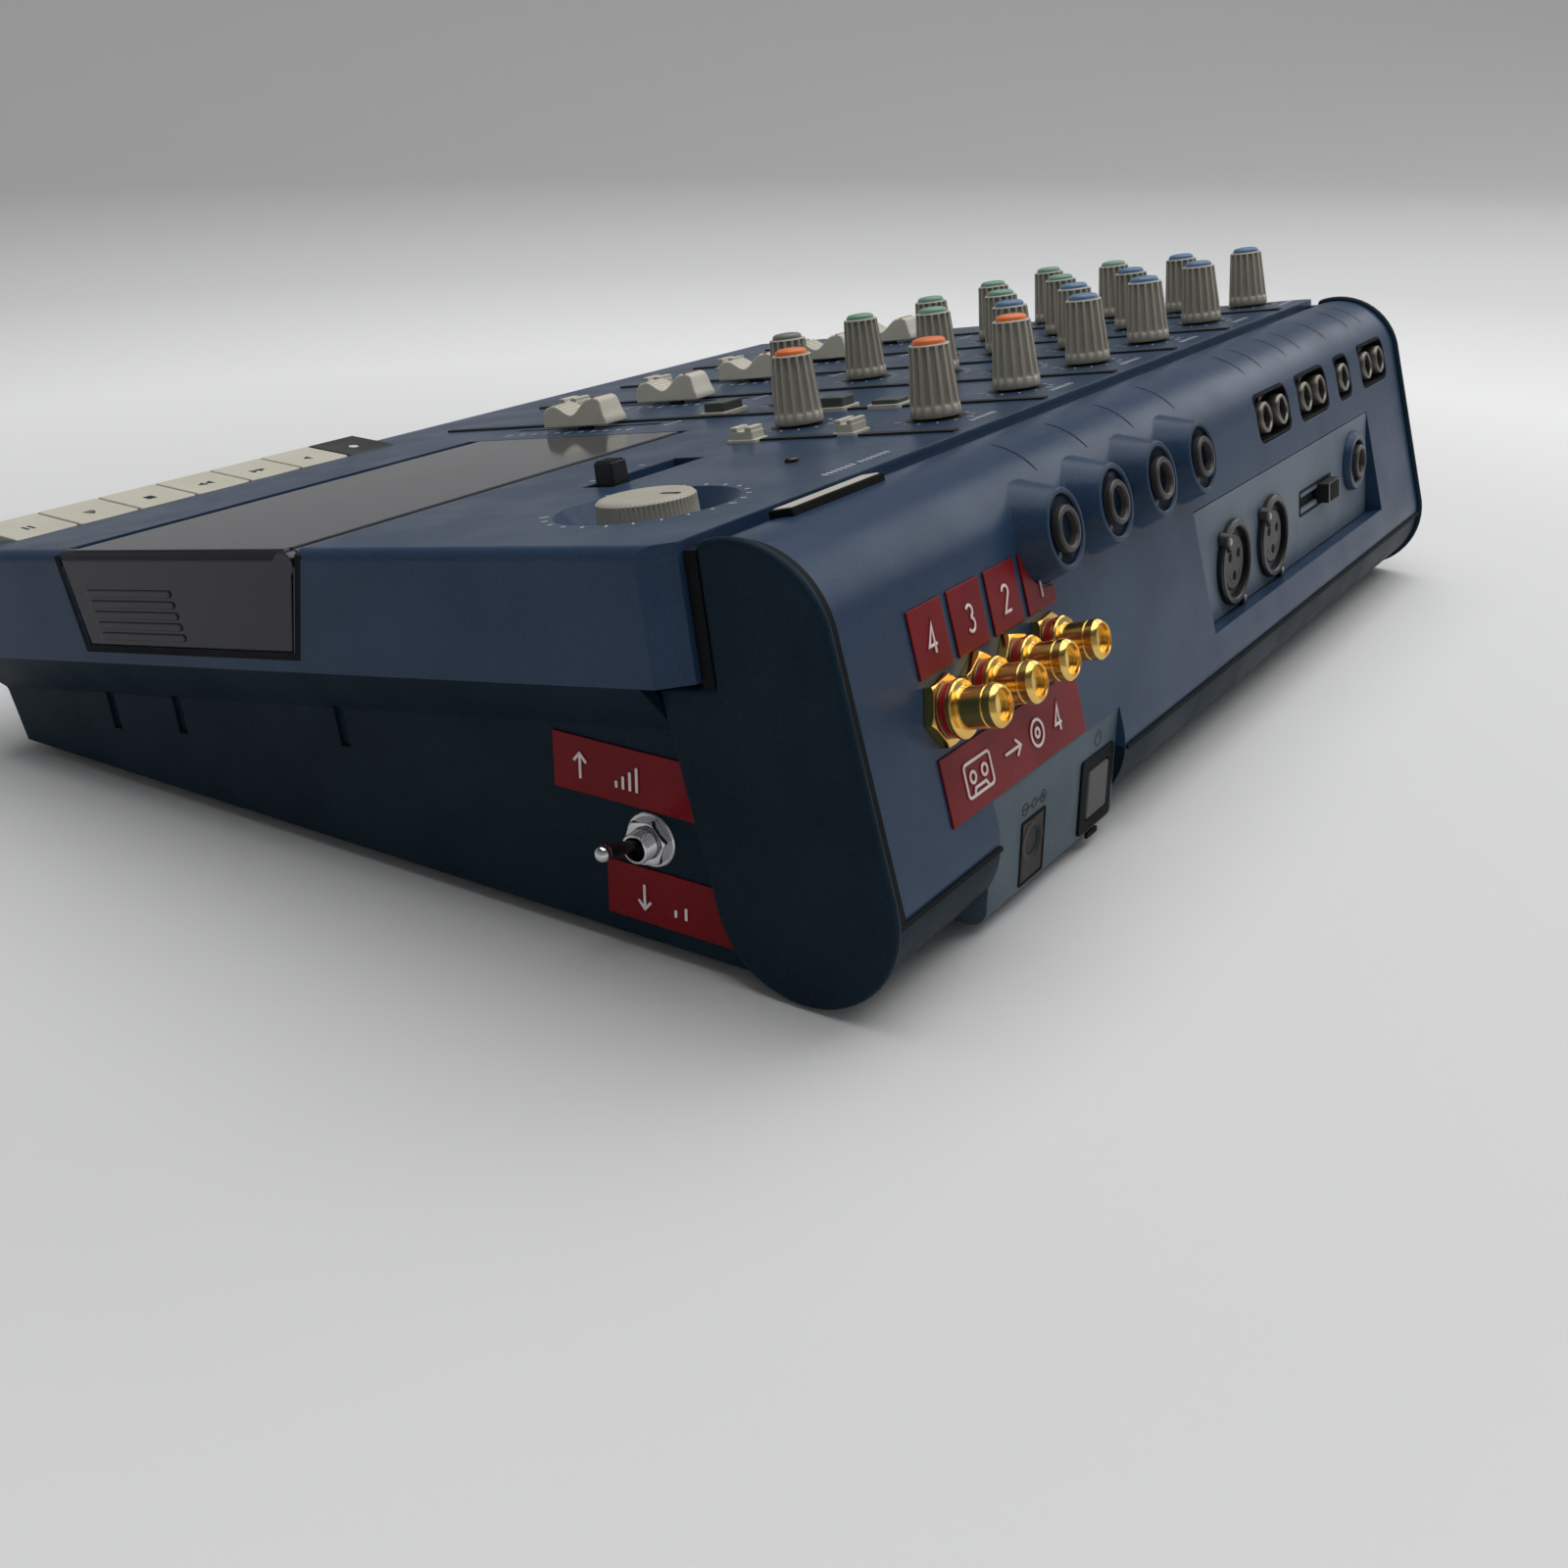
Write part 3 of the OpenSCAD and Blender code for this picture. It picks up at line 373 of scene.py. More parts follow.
finish("dark_plastic", srgb(44, 43, 44), srgb(36, 35, 36), rough=(0.4, 0.5), bump=0.3, grain=2400,
       wear=0.25, worn=srgb(84, 82, 80), edge_mm=0.25, dust=0.1)
finish("collar_grey", srgb(60, 57, 54), srgb(52, 49, 47), rough=(0.34, 0.44), bump=0.2, grain=2400,
       wear=0.3, worn=srgb(120, 116, 110), edge_mm=0.2, dust=0.05)
finish("black_plastic", srgb(20, 20, 22), srgb(15, 15, 17), rough=(0.32, 0.42), bump=0.25, grain=2600,
       wear=0.3, worn=srgb(60, 60, 62), edge_mm=0.2, dust=0.06)
# Near black for real black frames and bezels, and painted shade in holes, slots and gaps.
finish("deep_black_and_hole_shade", srgb(6, 6, 7), srgb(4, 4, 5), rough=(0.7, 0.85), bump=0.2, edge_mm=0.1, dust=0.0,
       specular=0.2)
finish("smoked_lid", srgb(17, 18, 32), srgb(13, 14, 26), rough=(0.08, 0.14), bump=0.02, grain=300, broad=18,
       wear=0.15, worn=srgb(60, 62, 76), edge_mm=0.6, dust=0.04, specular=0.45)
finish("grey_button", srgb(84, 84, 86), srgb(76, 76, 79), rough=(0.4, 0.5), bump=0.2, grain=2200, wear=0.2,
       edge_mm=0.4, dust=0.03, specular=0.2)
finish("sage_button", srgb(70, 76, 70), srgb(62, 68, 63), rough=(0.4, 0.5), bump=0.2, grain=2200, wear=0.2,
       edge_mm=0.3, dust=0.05)
finish("inlet_brown", srgb(54, 49, 46), srgb(46, 42, 39), rough=(0.4, 0.5), bump=0.2, grain=2200, wear=0.2,
       edge_mm=0.2, dust=0.03, specular=0.2)
finish("rubber", srgb(24, 24, 25), srgb(18, 18, 19), rough=(0.75, 0.9), bump=0.5, grain=1600, grain_mm=0.05,
       wear=0.1, edge_mm=0.6, dust=0.15)
finish("gold", srgb(240, 202, 116), srgb(228, 186, 98), rough=(0.14, 0.22), metal=1.0, bump=0.08, grain=900,
       broad=160, wear=0.2, worn=srgb(255, 232, 178), edge_mm=0.25, dust=0.0)
finish("chrome", srgb(214, 214, 216), srgb(196, 196, 200), rough=(0.1, 0.18), metal=1.0, bump=0.05, grain=900,
       broad=160, edge_mm=0.2, dust=0.0)
finish("steel", srgb(176, 178, 182), srgb(156, 158, 163), rough=(0.26, 0.38), metal=1.0, bump=0.12, grain=1500,
       broad=90, wear=0.15, edge_mm=0.25, dust=0.05)
finish("barrel_grey", srgb(132, 128, 120), srgb(116, 112, 105), rough=(0.3, 0.42), metal=0.9, bump=0.12,
       grain=1500, broad=90, wear=0.3, worn=srgb(206, 202, 194), edge_mm=0.25, dust=0.05)
finish("label_tape", srgb(128, 14, 24), srgb(114, 10, 20), rough=(0.26, 0.36), bump=0.12, grain=700, broad=60,
       grain_mm=0.03, wear=0.4, worn=srgb(176, 70, 80), edge_mm=0.3, dust=0.02, specular=0.15)
finish("stress_white", srgb(244, 238, 236), srgb(232, 214, 214), rough=(0.4, 0.5), bump=0.2, grain=1800,
       edge_mm=0.15, dust=0.0)
finish("insulator", srgb(206, 202, 190), srgb(188, 184, 172), rough=(0.35, 0.45), bump=0.1,
       edge_mm=0.2, dust=0.0)
finish("red_ring", srgb(150, 14, 20), srgb(134, 10, 16), rough=(0.25, 0.35), bump=0.1, edge_mm=0.2, dust=0.0)
finish("cap_orange", srgb(236, 126, 64), srgb(226, 114, 54), rough=(0.35, 0.45), bump=0.2,
       edge_mm=0.2, dust=0.06)
finish("cap_blue", srgb(94, 126, 162), srgb(86, 117, 153), rough=(0.35, 0.45), bump=0.2,
       edge_mm=0.2, dust=0.06)
finish("cap_green", srgb(122, 162, 141), srgb(112, 152, 131), rough=(0.35, 0.45), bump=0.2,
       edge_mm=0.2, dust=0.06)
finish("cap_grey", srgb(124, 124, 118), srgb(114, 114, 108), rough=(0.35, 0.45), bump=0.2,
       edge_mm=0.2, dust=0.06)
finish("legend_white", srgb(226, 228, 226), srgb(204, 208, 208), rough=(0.5, 0.6), bump=0.1,
       edge_mm=0.05, dust=0.0)
# Dark print for marks and signs; the same finish paints the groove shade between the panel's channels.
finish("legend_dark_and_groove_shade", srgb(12, 15, 19), srgb(9, 12, 16), rough=(0.5, 0.6), bump=0.1, edge_mm=0.05, dust=0.0)
finish("seam_shadow", srgb(8, 12, 17), srgb(6, 9, 13), rough=(0.7, 0.8), bump=0.1, edge_mm=0.05, dust=0.0,
       specular=0.2)
finish("board", srgb(34, 88, 54), srgb(26, 74, 44), rough=(0.35, 0.5), bump=0.2, grain=900, broad=200,
       wear=0.1, edge_mm=0.2, dust=0.1)
finish("lamp_dark", srgb(52, 14, 16), srgb(40, 10, 12), rough=(0.15, 0.25), bump=0.05, edge_mm=0.2, dust=0.0)
print("finishes", len(finishes))

# %% [markdown]
# ## Making meshes
# Almost everything on a recorder is turned, extruded or moulded. Three helpers cover this: `turned` spins a
# profile, `extruded` pushes an outline, and `ribbon` lays a flat stroke along a path. Each adds to one mesh,
# so a piece can be built from several forms, and a bevel modifier then breaks its edges.

# %% Mesh helpers
def turned(bm, profile, steps=48, at=Matrix.Identity(4), shape=None):
    """Spins (radius, height) points about the local z axis. shape(angle, height) scales the radius."""
    rings = []
    for radius, height in profile:
        if radius == 0:
            rings.append([bm.verts.new(at @ Vector((0, 0, height)))])
            continue
        ring = []
        for k in range(steps):
            angle = 2 * math.pi * k / steps
            r = radius - (shape(angle, height) if shape else 0)
            ring.append(bm.verts.new(at @ Vector((r * math.cos(angle), r * math.sin(angle), height))))
        rings.append(ring)
    for low, high in zip(rings, rings[1:]):
        for k in range(steps):
            j = (k + 1) % steps
            if len(low) == 1 and len(high) > 1:
                bm.faces.new((low[0], high[j], high[k]))
            elif len(high) == 1 and len(low) > 1:
                bm.faces.new((low[k], low[j], high[0]))
            elif len(low) > 1:
                bm.faces.new((low[k], low[j], high[j], high[k]))
    for ring, flip in ((rings[0], True), (rings[-1], False)):
        if len(ring) > 1:
            bm.faces.new(ring[::-1] if flip else ring)


def extruded(bm, outline, z0, z1, at=Matrix.Identity(4), inset=0.0):
    """Pushes a flat outline, given anticlockwise, from z0 to z1. inset pulls the far face in."""
    centre = Vector((sum(p[0] for p in outline), sum(p[1] for p in outline))) / len(outline)
    lower = [bm.verts.new(at @ Vector((p[0], p[1], z0))) for p in outline]
    upper = []
    for p in outline:
        q = Vector(p)
        if inset:
            q = q + (centre - q).normalized() * inset
        upper.append(bm.verts.new(at @ Vector((q.x, q.y, z1))))
    bm.faces.new(lower[::-1])
    bm.faces.new(upper)
    for k in range(len(outline)):
        j = (k + 1) % len(outline)
        bm.faces.new((lower[k], lower[j], upper[j], upper[k]))


def rounded_outline(w, h, r, steps=6, x=0.0, y=0.0):
    points = []
    for corner, (sx, sy) in enumerate(((1, 1), (-1, 1), (-1, -1), (1, -1))):
        for k in range(steps + 1):
            angle = math.pi / 2 * (corner + k / steps)
            points.append((x + sx * (w / 2 - r) + r * math.cos(angle),
                           y + sy * (h / 2 - r) + r * math.sin(angle)))
    return points


def rounded_box(bm, w, h, z0, z1, r=0.5, at=Matrix.Identity(4), x=0.0, y=0.0):
    extruded(bm, rounded_outline(w, h, r, 4, x, y), z0, z1, at)


def ribbon(bm, path, width, z0, z1, at=Matrix.Identity(4), closed=False):
    """A raised flat stroke along a path of (x, y) points, with mitred corners."""
    points = [Vector(p) for p in path]
    n = len(points)
    sides = []
    for k in range(n):
        before = points[k - 1] if k or closed else points[k]
        after = points[(k + 1) % n] if k < n - 1 or closed else points[k]
        step_in, step_out = points[k] - before, after - points[k]
        first = (step_in if step_in.length else step_out).normalized()
        second = step_out.normalized() if step_out.length else first
        along = (first + second).normalized()
        normal = Vector((-along.y, along.x))
        reach = width / 2 / max(0.35, normal.dot(Vector((-first.y, first.x))))
        sides.append((points[k] + normal * reach, points[k] - normal * reach))
    layers = [[[bm.verts.new(at @ Vector((p.x, p.y, z))) for p in pair] for pair in sides] for z in (z0, z1)]
    spans = range(n) if closed else range(n - 1)
    for k in spans:
        j = (k + 1) % n
        bm.faces.new((layers[1][k][0], layers[1][k][1], layers[1][j][1], layers[1][j][0]))
        bm.faces.new((layers[0][k][1], layers[0][k][0], layers[0][j][0], layers[0][j][1]))
        for s, flip in ((0, False), (1, True)):
            quad = [layers[0][k][s], layers[1][k][s], layers[1][j][s], layers[0][j][s]]
            bm.faces.new(quad[::-1] if flip else quad)
    if not closed:
        for k in (0, n - 1):
            quad = [layers[0][k][0], layers[0][k][1], layers[1][k][1], layers[1][k][0]]
            bm.faces.new(quad if k == 0 else quad[::-1])


def arc(cx, cy, r, a0, a1, steps=10):
    """Points on an arc, angles in degrees."""
    turns = [math.radians(a0 + (a1 - a0) * k / steps) for k in range(steps + 1)]
    return [(cx + r * math.cos(t), cy + r * math.sin(t)) for t in turns]


def piece(name, bm, at, material, body="chassis", bevel=0.0, segments=2, instead=(), sharp=32):
    """Turns a mesh made in millimetres into a piece of the recorder that rides on a body."""
    bm.transform(at)
    bmesh.ops.remove_doubles(bm, verts=bm.verts, dist=1e-7)
    bmesh.ops.recalc_face_normals(bm, faces=bm.faces)
    mesh = bpy.data.meshes.new(name)
    bm.to_mesh(mesh)
    bm.free()
    mesh.materials.append(finishes[material])
    made = bpy.data.objects.new(name, mesh)
    bpy.context.scene.collection.objects.link(made)
    soften(made, bevel, segments, sharp)
    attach(made, body)
    if instead:
        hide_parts(*instead)
    return made


def soften(made, bevel, segments=2, sharp=32):
    made.data.shade_smooth()
    if bevel:
        edge = made.modifiers.new("soft_edges", "BEVEL")
        edge.width = bevel * MM
        edge.segments = segments
        edge.limit_method = "ANGLE"
        edge.angle_limit = math.radians(sharp)
        weights = made.modifiers.new("even_shading", "WEIGHTED_NORMAL")
        weights.keep_sharp = True
    else:
        made.data.set_sharp_from_angle(angle=math.radians(sharp))


def softened(node, material, bevel, body="chassis", segments=2, sharp=32):
    """A bevelled copy of a CAD part that stands for it: same shape, broken edges."""
    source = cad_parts[node]
    bm = bmesh.new()
    bm.from_mesh(source.data)
    bmesh.ops.remove_doubles(bm, verts=bm.verts, dist=1e-6)
    bmesh.ops.dissolve_limit(bm, angle_limit=math.radians(1.0), verts=bm.verts, edges=bm.edges)
    return piece(node + "_shell", bm, Matrix.Identity(4), material, body, bevel=bevel, segments=segments,
                 instead=(node,), sharp=sharp)


print("mesh helpers ready")

# %% [markdown]
# ## The case
# The case parts already have the right shape. They only need their paint: the upper case and the rear hump
# share the half gloss blue; the lower case and the end caps take a flatter, greener and darker copy of it,
# whose darkness is painted shade for walls that lie in the shade.

# %% Dress the parts that keep their CAD shape
def dress(node, material):
    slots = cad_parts[node].data.materials
    for k in range(max(1, len(slots))):
        if len(slots):
            slots[k] = finishes[material]
        else:
            slots.append(finishes[material])


keep = {
    "upper_case": "blue_paint", "rear_housing": "blue_paint", "lower_case": "blue_painted_shade",
    "rubber_feet": "rubber", "case_screws": "steel", "deck_tray": "black_plastic", "drive_motor": "steel",
    "main_board": "board", "capstan_flywheel": "steel", "pinch_roller": "rubber", "head_bridge": "steel",
    "phone_jacks": "black_plastic", "phono_sockets": "black_plastic", "take_up_hub": "cream_plastic",
    "supply_hub": "cream_plastic",
}
for node, material in keep.items():
    dress(node, material)
print("kept", len(keep), "CAD parts")

# %% [markdown]
# The end caps, the two plates and the lid meet the eye with long edges, so they are copied with those edges
# broken by a small bevel, which catches the light as a moulded edge does.

# %% Bevelled copies
softened("end_caps", "blue_painted_shade", 1.1, segments=4)
softened("connector_plate", "plate_paint", 0.3)
softened("power_plate", "power_paint", 0.5, segments=3)
softened("cassette_lid", "smoked_lid", 0.9, "cassette_lid", 3, 60)
print("bevelled copies made")

# %% [markdown]
# ## Fluted knobs
# A knob is turned plastic: a plain collar at the foot, then a cone with fifteen flutes, and a thin rim that
# holds a coloured cap. The flutes are pressed into the turned profile with a wave round the axis, deeper than
# a bump map could show on the outline. One mesh function serves all twenty knobs.

# %% Knob
knob_r = 6.1
knob_top_r = 4.85
knob_foot = 0.6
knob_h = 18.6
collar_h = 3.0
flutes = 15
flute_depth = 1.15
rim_h = 17.1


def flute(angle, height):
    """How far the surface sinks at this angle: round valleys between flat ribs, fading in over the collar."""
    across = 2 * abs(angle * flutes / (2 * math.pi) % 1 - 0.5)
    wave = max(0.0, 1 - (across / 0.62) ** 2) ** 0.5
    rise = min(1.0, max(0.0, (height - collar_h) / 0.5))
    fall = min(1.0, max(0.0, (rim_h - 0.4 - height) / 0.5))
    return flute_depth * wave * rise * fall


def cone_r(height):
    share = (height - knob_foot) / (rim_h - 0.4 - knob_foot)
    return knob_r + (knob_top_r - knob_r) * share


def make_knob(node, x, d, cap):
    at = on_panel(x, d)
    bm = bmesh.new()
    levels = [knob_foot + 0.4, collar_h - 0.15, collar_h + 0.1, 3.25, 3.5, 4.0, 8.0, 12.5, 15.4, 16.2,
              rim_h - 0.4]
    wall = [(cone_r(z), z) for z in levels]
    foot = [(3.2, knob_foot), (cone_r(knob_foot) - 0.35, knob_foot)]
    rim = [(knob_top_r - 0.06, rim_h - 0.2), (knob_top_r - 0.35, rim_h), (knob_top_r - 0.9, rim_h - 0.1)]
    turned(bm, foot + wall + rim, steps=flutes * 12, shape=flute)
    low, high = collar_h, rim_h - 0.6
    section = [(cone_r(low) + 0.12, low), (cone_r(high) + 0.12, high), (cone_r(high) - 0.9, high),
               (cone_r(low) - 0.9, low)]
    front = [bm.verts.new((-0.45, -r, z)) for r, z in section]
    back = [bm.verts.new((0.45, -r, z)) for r, z in section]
    bm.faces.new(front)
    bm.faces.new(back[::-1])
    for k in range(4):
        j = (k + 1) % 4
        bm.faces.new((front[j], front[k], back[k], back[j]))
    piece(node + "_body", bm, at, "knob_plastic", body=node, instead=(node,), sharp=50)
    bm = bmesh.new()
    r = knob_top_r - 0.92
    turned(bm, [(r, rim_h - 0.5), (r, knob_h - 1.0), (r - 0.2, knob_h - 0.6), (r * 0.8, knob_h - 0.25),
                (r * 0.45, knob_h - 0.05), (0, knob_h)], steps=48)
    piece(node + "_cap", bm, at, cap, body=node, sharp=60)


column_last = -41.0
column_pitch = 43
column_x = {channel: column_last - column_pitch * (4 - channel) for channel in (1, 2, 3, 4)}
rows = {"trim_knob": (-19, "cap_blue"), "treble_knob": (-41, "cap_blue"), "bass_knob": (-65, "cap_green"),
        "pan_knob": (-89, "cap_green")}
for kind, (d, cap) in rows.items():
    for channel, x in column_x.items():
        make_knob(f"{kind}_{channel}", x, d, cap)
single_knobs = {"return_knob_1": (3, -19), "return_knob_2": (46, -19), "phones_knob": (46, -57),
                "monitor_knob": (3, -86)}
for node, (x, d) in single_knobs.items():
    make_knob(node, x, d, "cap_grey" if node == "monitor_knob" else "cap_orange")
print("knobs", 4 * len(rows) + 4)

# %% [markdown]
# ## Fader caps
# A fader cap is a small saddle: a low ridged horn at the front, a dip for the fingertip, and a taller horn at
# the back with a red line. It is an outline pushed sideways, with its sides drawn in towards the top.

# %% Fader
fader_pitch = 42.8
fader_first = 30.0
fader_d = -138.0
fader_w = 10.0
fader_half = 11.0
saddle = ((-1.0, 5.2), (-0.86, 6.5), (-0.66, 6.9), (-0.1, 4.3), (0.5, 8.2), (0.66, 8.5), (0.8, 8.1), (1.0, 2.6))


def saddle_height(t):
    """Height of the cap's top at t, from -1 at the front to 1 at the back, eased between its key points."""
    for (t0, z0), (t1, z1) in zip(saddle, saddle[1:]):
        if t <= t1:
            share = (t - t0) / (t1 - t0)
            return z0 + (z1 - z0) * share * share * (3 - 2 * share)
    return saddle[-1][1]


def make_fader(node, x):
    at = on_panel(x, fader_d)
    bm = bmesh.new()
    steps = 40
    half = fader_half
    top = [(half * (2 * k / steps - 1), saddle_height(2 * k / steps - 1)) for k in range(steps + 1)]
    profile = [(-half, 1.0)] + top + [(half, 1.0)]
    rings = []
    for side in (-1, 1):
        ring = []
        for y, z in profile:
            narrow = 0.9 * max(0, z - 1) / 7.5
            ring.append(bm.verts.new((side * (fader_w / 2 - narrow), y, z)))
        rings.append(ring)
    bm.faces.new(rings[0][::-1])
    bm.faces.new(rings[1])
    n = len(profile)
    for k in range(n):
        j = (k + 1) % n
        bm.faces.new((rings[0][k], rings[0][j], rings[1][j], rings[1][k]))
    piece(node + "_cap", bm, at, "cream_plastic", body=node, bevel=0.45, segments=3,
          instead=(node,), sharp=38)
    bm = bmesh.new()
    for y in (-6.6, -5.6, -4.6, -3.6, -2.6, 0.8, 1.8, 2.8, 3.8, 4.8):
        z = saddle_height(y / half)
        rounded_box(bm, 7.2, 0.45, z - 0.5, z + 0.2, 0.15, y=y)
    piece(node + "_grip", bm, at, "cream_plastic", body=node, bevel=0.12)
    bm = bmesh.new()
    rounded_box(bm, 8.0, 0.8, 5.0, 8.6, 0.2, y=7.0)
    piece(node + "_line", bm, at, "red_ring", body=node, bevel=0.1)
    bm = bmesh.new()
    rounded_box(bm, 1.2, 5.0, -6.0, 1.6, 0.3)
    piece(node + "_stem", bm, at, "black_plastic", body=node, bevel=0.15)


for i, node in enumerate(("master_fader", "fader_4", "fader_3", "fader_2", "fader_1")):
    make_fader(node, fader_first - i * fader_pitch)
print("faders 5")

# %% [markdown]
# ## Transport keys
# Seven wide keys lie along the front edge, raised towards the user. Each is a wedge with a hollowed face, and
# the record key is dark so that nobody presses it by mistake. The small marks are the usual shapes for
# transport: a triangle for play, two for winding, a square for stop.

# %% Keys
key_w = 17.2
key_pitch = 18.0
key_len = 17.0
key_high = 3.3
key_fall = 2.9
key_rear = 20.9 - panel_len
key_first_x = case_w / 2 - 20
key_names = ("pause_key", "eject_key", "stop_key", "forward_key", "rewind_key", "play_key", "record_key")


def key_mark(node):
    """Closed outlines of the mark on a key, in millimetres about its middle, point first for triangles."""
    right = [(1.3, 0), (-1.0, 1.4), (-1.0, -1.4)]
    left = [(-1.3, 0), (1.0, -1.4), (1.0, 1.4)]
    square = [(-1.3, -1.3), (1.3, -1.3), (1.3, 1.3), (-1.3, 1.3)]
    bar = [(-0.35, -1.4), (0.35, -1.4), (0.35, 1.4), (-0.35, 1.4)]

    def shift(points, x, y=0.0):
        return [(px + x, py + y) for px, py in points]

    marks = {
        "pause_key": [shift(bar, -0.8), shift(bar, 0.8)],
        "eject_key": [[(-1.5, -0.2), (1.5, -0.2), (0, 1.5)],
                      [(-1.5, -1.4), (1.5, -1.4), (1.5, -0.8), (-1.5, -0.8)]],
        "stop_key": [square],
        "forward_key": [shift(right, -1.2), shift(right, 1.2)],
        "rewind_key": [shift(left, -1.2), shift(left, 1.2)],
        "play_key": [right],
        "record_key": [[(1.4 * math.cos(a * math.pi / 10), 1.4 * math.sin(a * math.pi / 10))
                        for a in range(20)]],
    }
    return marks[node]


def make_key(node, i):
    at = on_panel(key_first_x - i * key_pitch, key_rear)
    bm = bmesh.new()
    across_steps = 8
    along = [(-key_len, -8.0), (-key_len, key_high - 0.5), (-key_len + 0.9, key_high)]
    along += [(-key_len + 0.9 + (key_len - 1.2) * k / 8, key_high - key_fall * k / 8) for k in range(1, 9)]
    along += [(0, 0.2), (0, -8.0)]
    grid = []
    for j in range(across_steps + 1):
        t = -1 + 2 * j / across_steps
        row_of = []
        for k, (y, z) in enumerate(along):
            hollow = 0.35 * (1 - t * t) if 2 < k < len(along) - 2 else 0
            row_of.append(bm.verts.new((t * key_w / 2, y, z - hollow)))
        grid.append(row_of)
    for j in range(across_steps):
        for k in range(len(along) - 1):
            bm.faces.new((grid[j][k], grid[j + 1][k], grid[j + 1][k + 1], grid[j][k + 1]))
    bm.faces.new(grid[0][::-1])
    bm.faces.new(grid[-1])
    bottom = [r[0] for r in grid] + [r[-1] for r in grid[::-1]]
    bm.faces.new(bottom[::-1])
    tone = "dark_plastic" if node == "record_key" else "cream_plastic"
    piece(node + "_cap", bm, at, tone, body=node, bevel=0.5, segments=3, instead=(node,), sharp=40)
    bm = bmesh.new()
    for outline in key_mark(node):
        extruded(bm, outline, -0.25, 0.05)
    tilt = turn(-math.atan2(key_fall, key_len - 1.2), "X")
    ink = "legend_white" if tone == "dark_plastic" else "legend_dark_and_groove_shade"
    piece(node + "_mark", bm, at @ move(0, -key_len * 0.42, 1.32) @ tilt, ink, body=node)


for i, node in enumerate(key_names):
    make_key(node, i)
print("keys", len(key_names))

# %% [markdown]
# ## Cassette lid
# The smoked lid wraps over the right edge of the case. Its side face has five raised finger ribs near the
# front. The bevelled copy keeps the lid's shape, and the ribs are laid on it, since they are thinner than
# anything the frame holds.

# %% Lid ribs
lid_rib_d = -146.6
lid_rib_len = 29.0
lid_ribs = 5
lid_rib_w = 1.7
lid_rib_pitch = 2.4
lid_rib_lean = 0.39
lid_rib_top = -9.4
bm = bmesh.new()
for k in range(lid_ribs):
    outline = rounded_outline(lid_rib_len, lid_rib_w, 0.8, 5, lid_rib_d + lid_rib_lean * k,
                              lid_rib_top - lid_rib_pitch * k)
    extruded(bm, outline, -0.15, 0.45, inset=0.2)
side = on_panel(case_w / 2 - 0.08, 0, 0) @ Matrix(((0, 0, 1), (1, 0, 0), (0, 1, 0))).to_4x4()
piece("lid_ribs", bm, side, "smoked_lid", body="cassette_lid", bevel=0.15)
print("lid ribs", lid_ribs)

# %% [markdown]
# ## Gold phono sockets
# Four gold sockets were added to the rear by hand. Each is turned brass under gold plate: a hexagonal nut
# against the case, a grey washer, a red ring that tells the channel, a flange, a barrel with a chamfered
# lip, and a white insulator round the centre contact. Turned parts are what `turned` is for, one profile
# for each material.

# %% Gold sockets
gold_first = 142.8
gold_pitch = 14.8
gold_s = 31.1


def hexagon(r, spin=0.0):
    return [(r * math.cos(spin + k * math.pi / 3), r * math.sin(spin + k * math.pi / 3)) for k in range(6)]


def make_nut(bm, r, z0, z1, bore, spin=0.0):
    """A hexagonal nut whose corners are cut by a cone, as on a real turned nut."""
    outline = hexagon(r, spin)
    steps = 10
    low, top, face = [], [], []
    for k in range(6):
        a, b = Vector(outline[k]), Vector(outline[(k + 1) % 6])
        for j in range(steps):
            p = a.lerp(b, j / steps)
            out = p.length
            drop = max(0.0, out - r * 0.9) * 0.75
            low.append(bm.verts.new((p.x, p.y, z0)))
            top.append(bm.verts.new((p.x, p.y, z1 - drop)))
            q = p.normalized() * min(out, r * 0.9)
            face.append(bm.verts.new((q.x, q.y, z1)))
    n = len(low)
    turns = [2 * math.pi * k / n + spin for k in range(n)]
    hole = [(bore * math.cos(t), bore * math.sin(t)) for t in turns]
    rim = [bm.verts.new((x, y, z1)) for x, y in hole]
    under = [bm.verts.new((x, y, z0)) for x, y in hole]
    for k in range(n):
        j = (k + 1) % n
        bm.faces.new((low[k], low[j], top[j], top[k]))
        bm.faces.new((top[k], top[j], face[j], face[k]))
        bm.faces.new((face[k], face[j], rim[j], rim[k]))
        bm.faces.new((rim[k], rim[j], under[j], under[k]))
        bm.faces.new((under[k], under[j], low[j], low[k]))


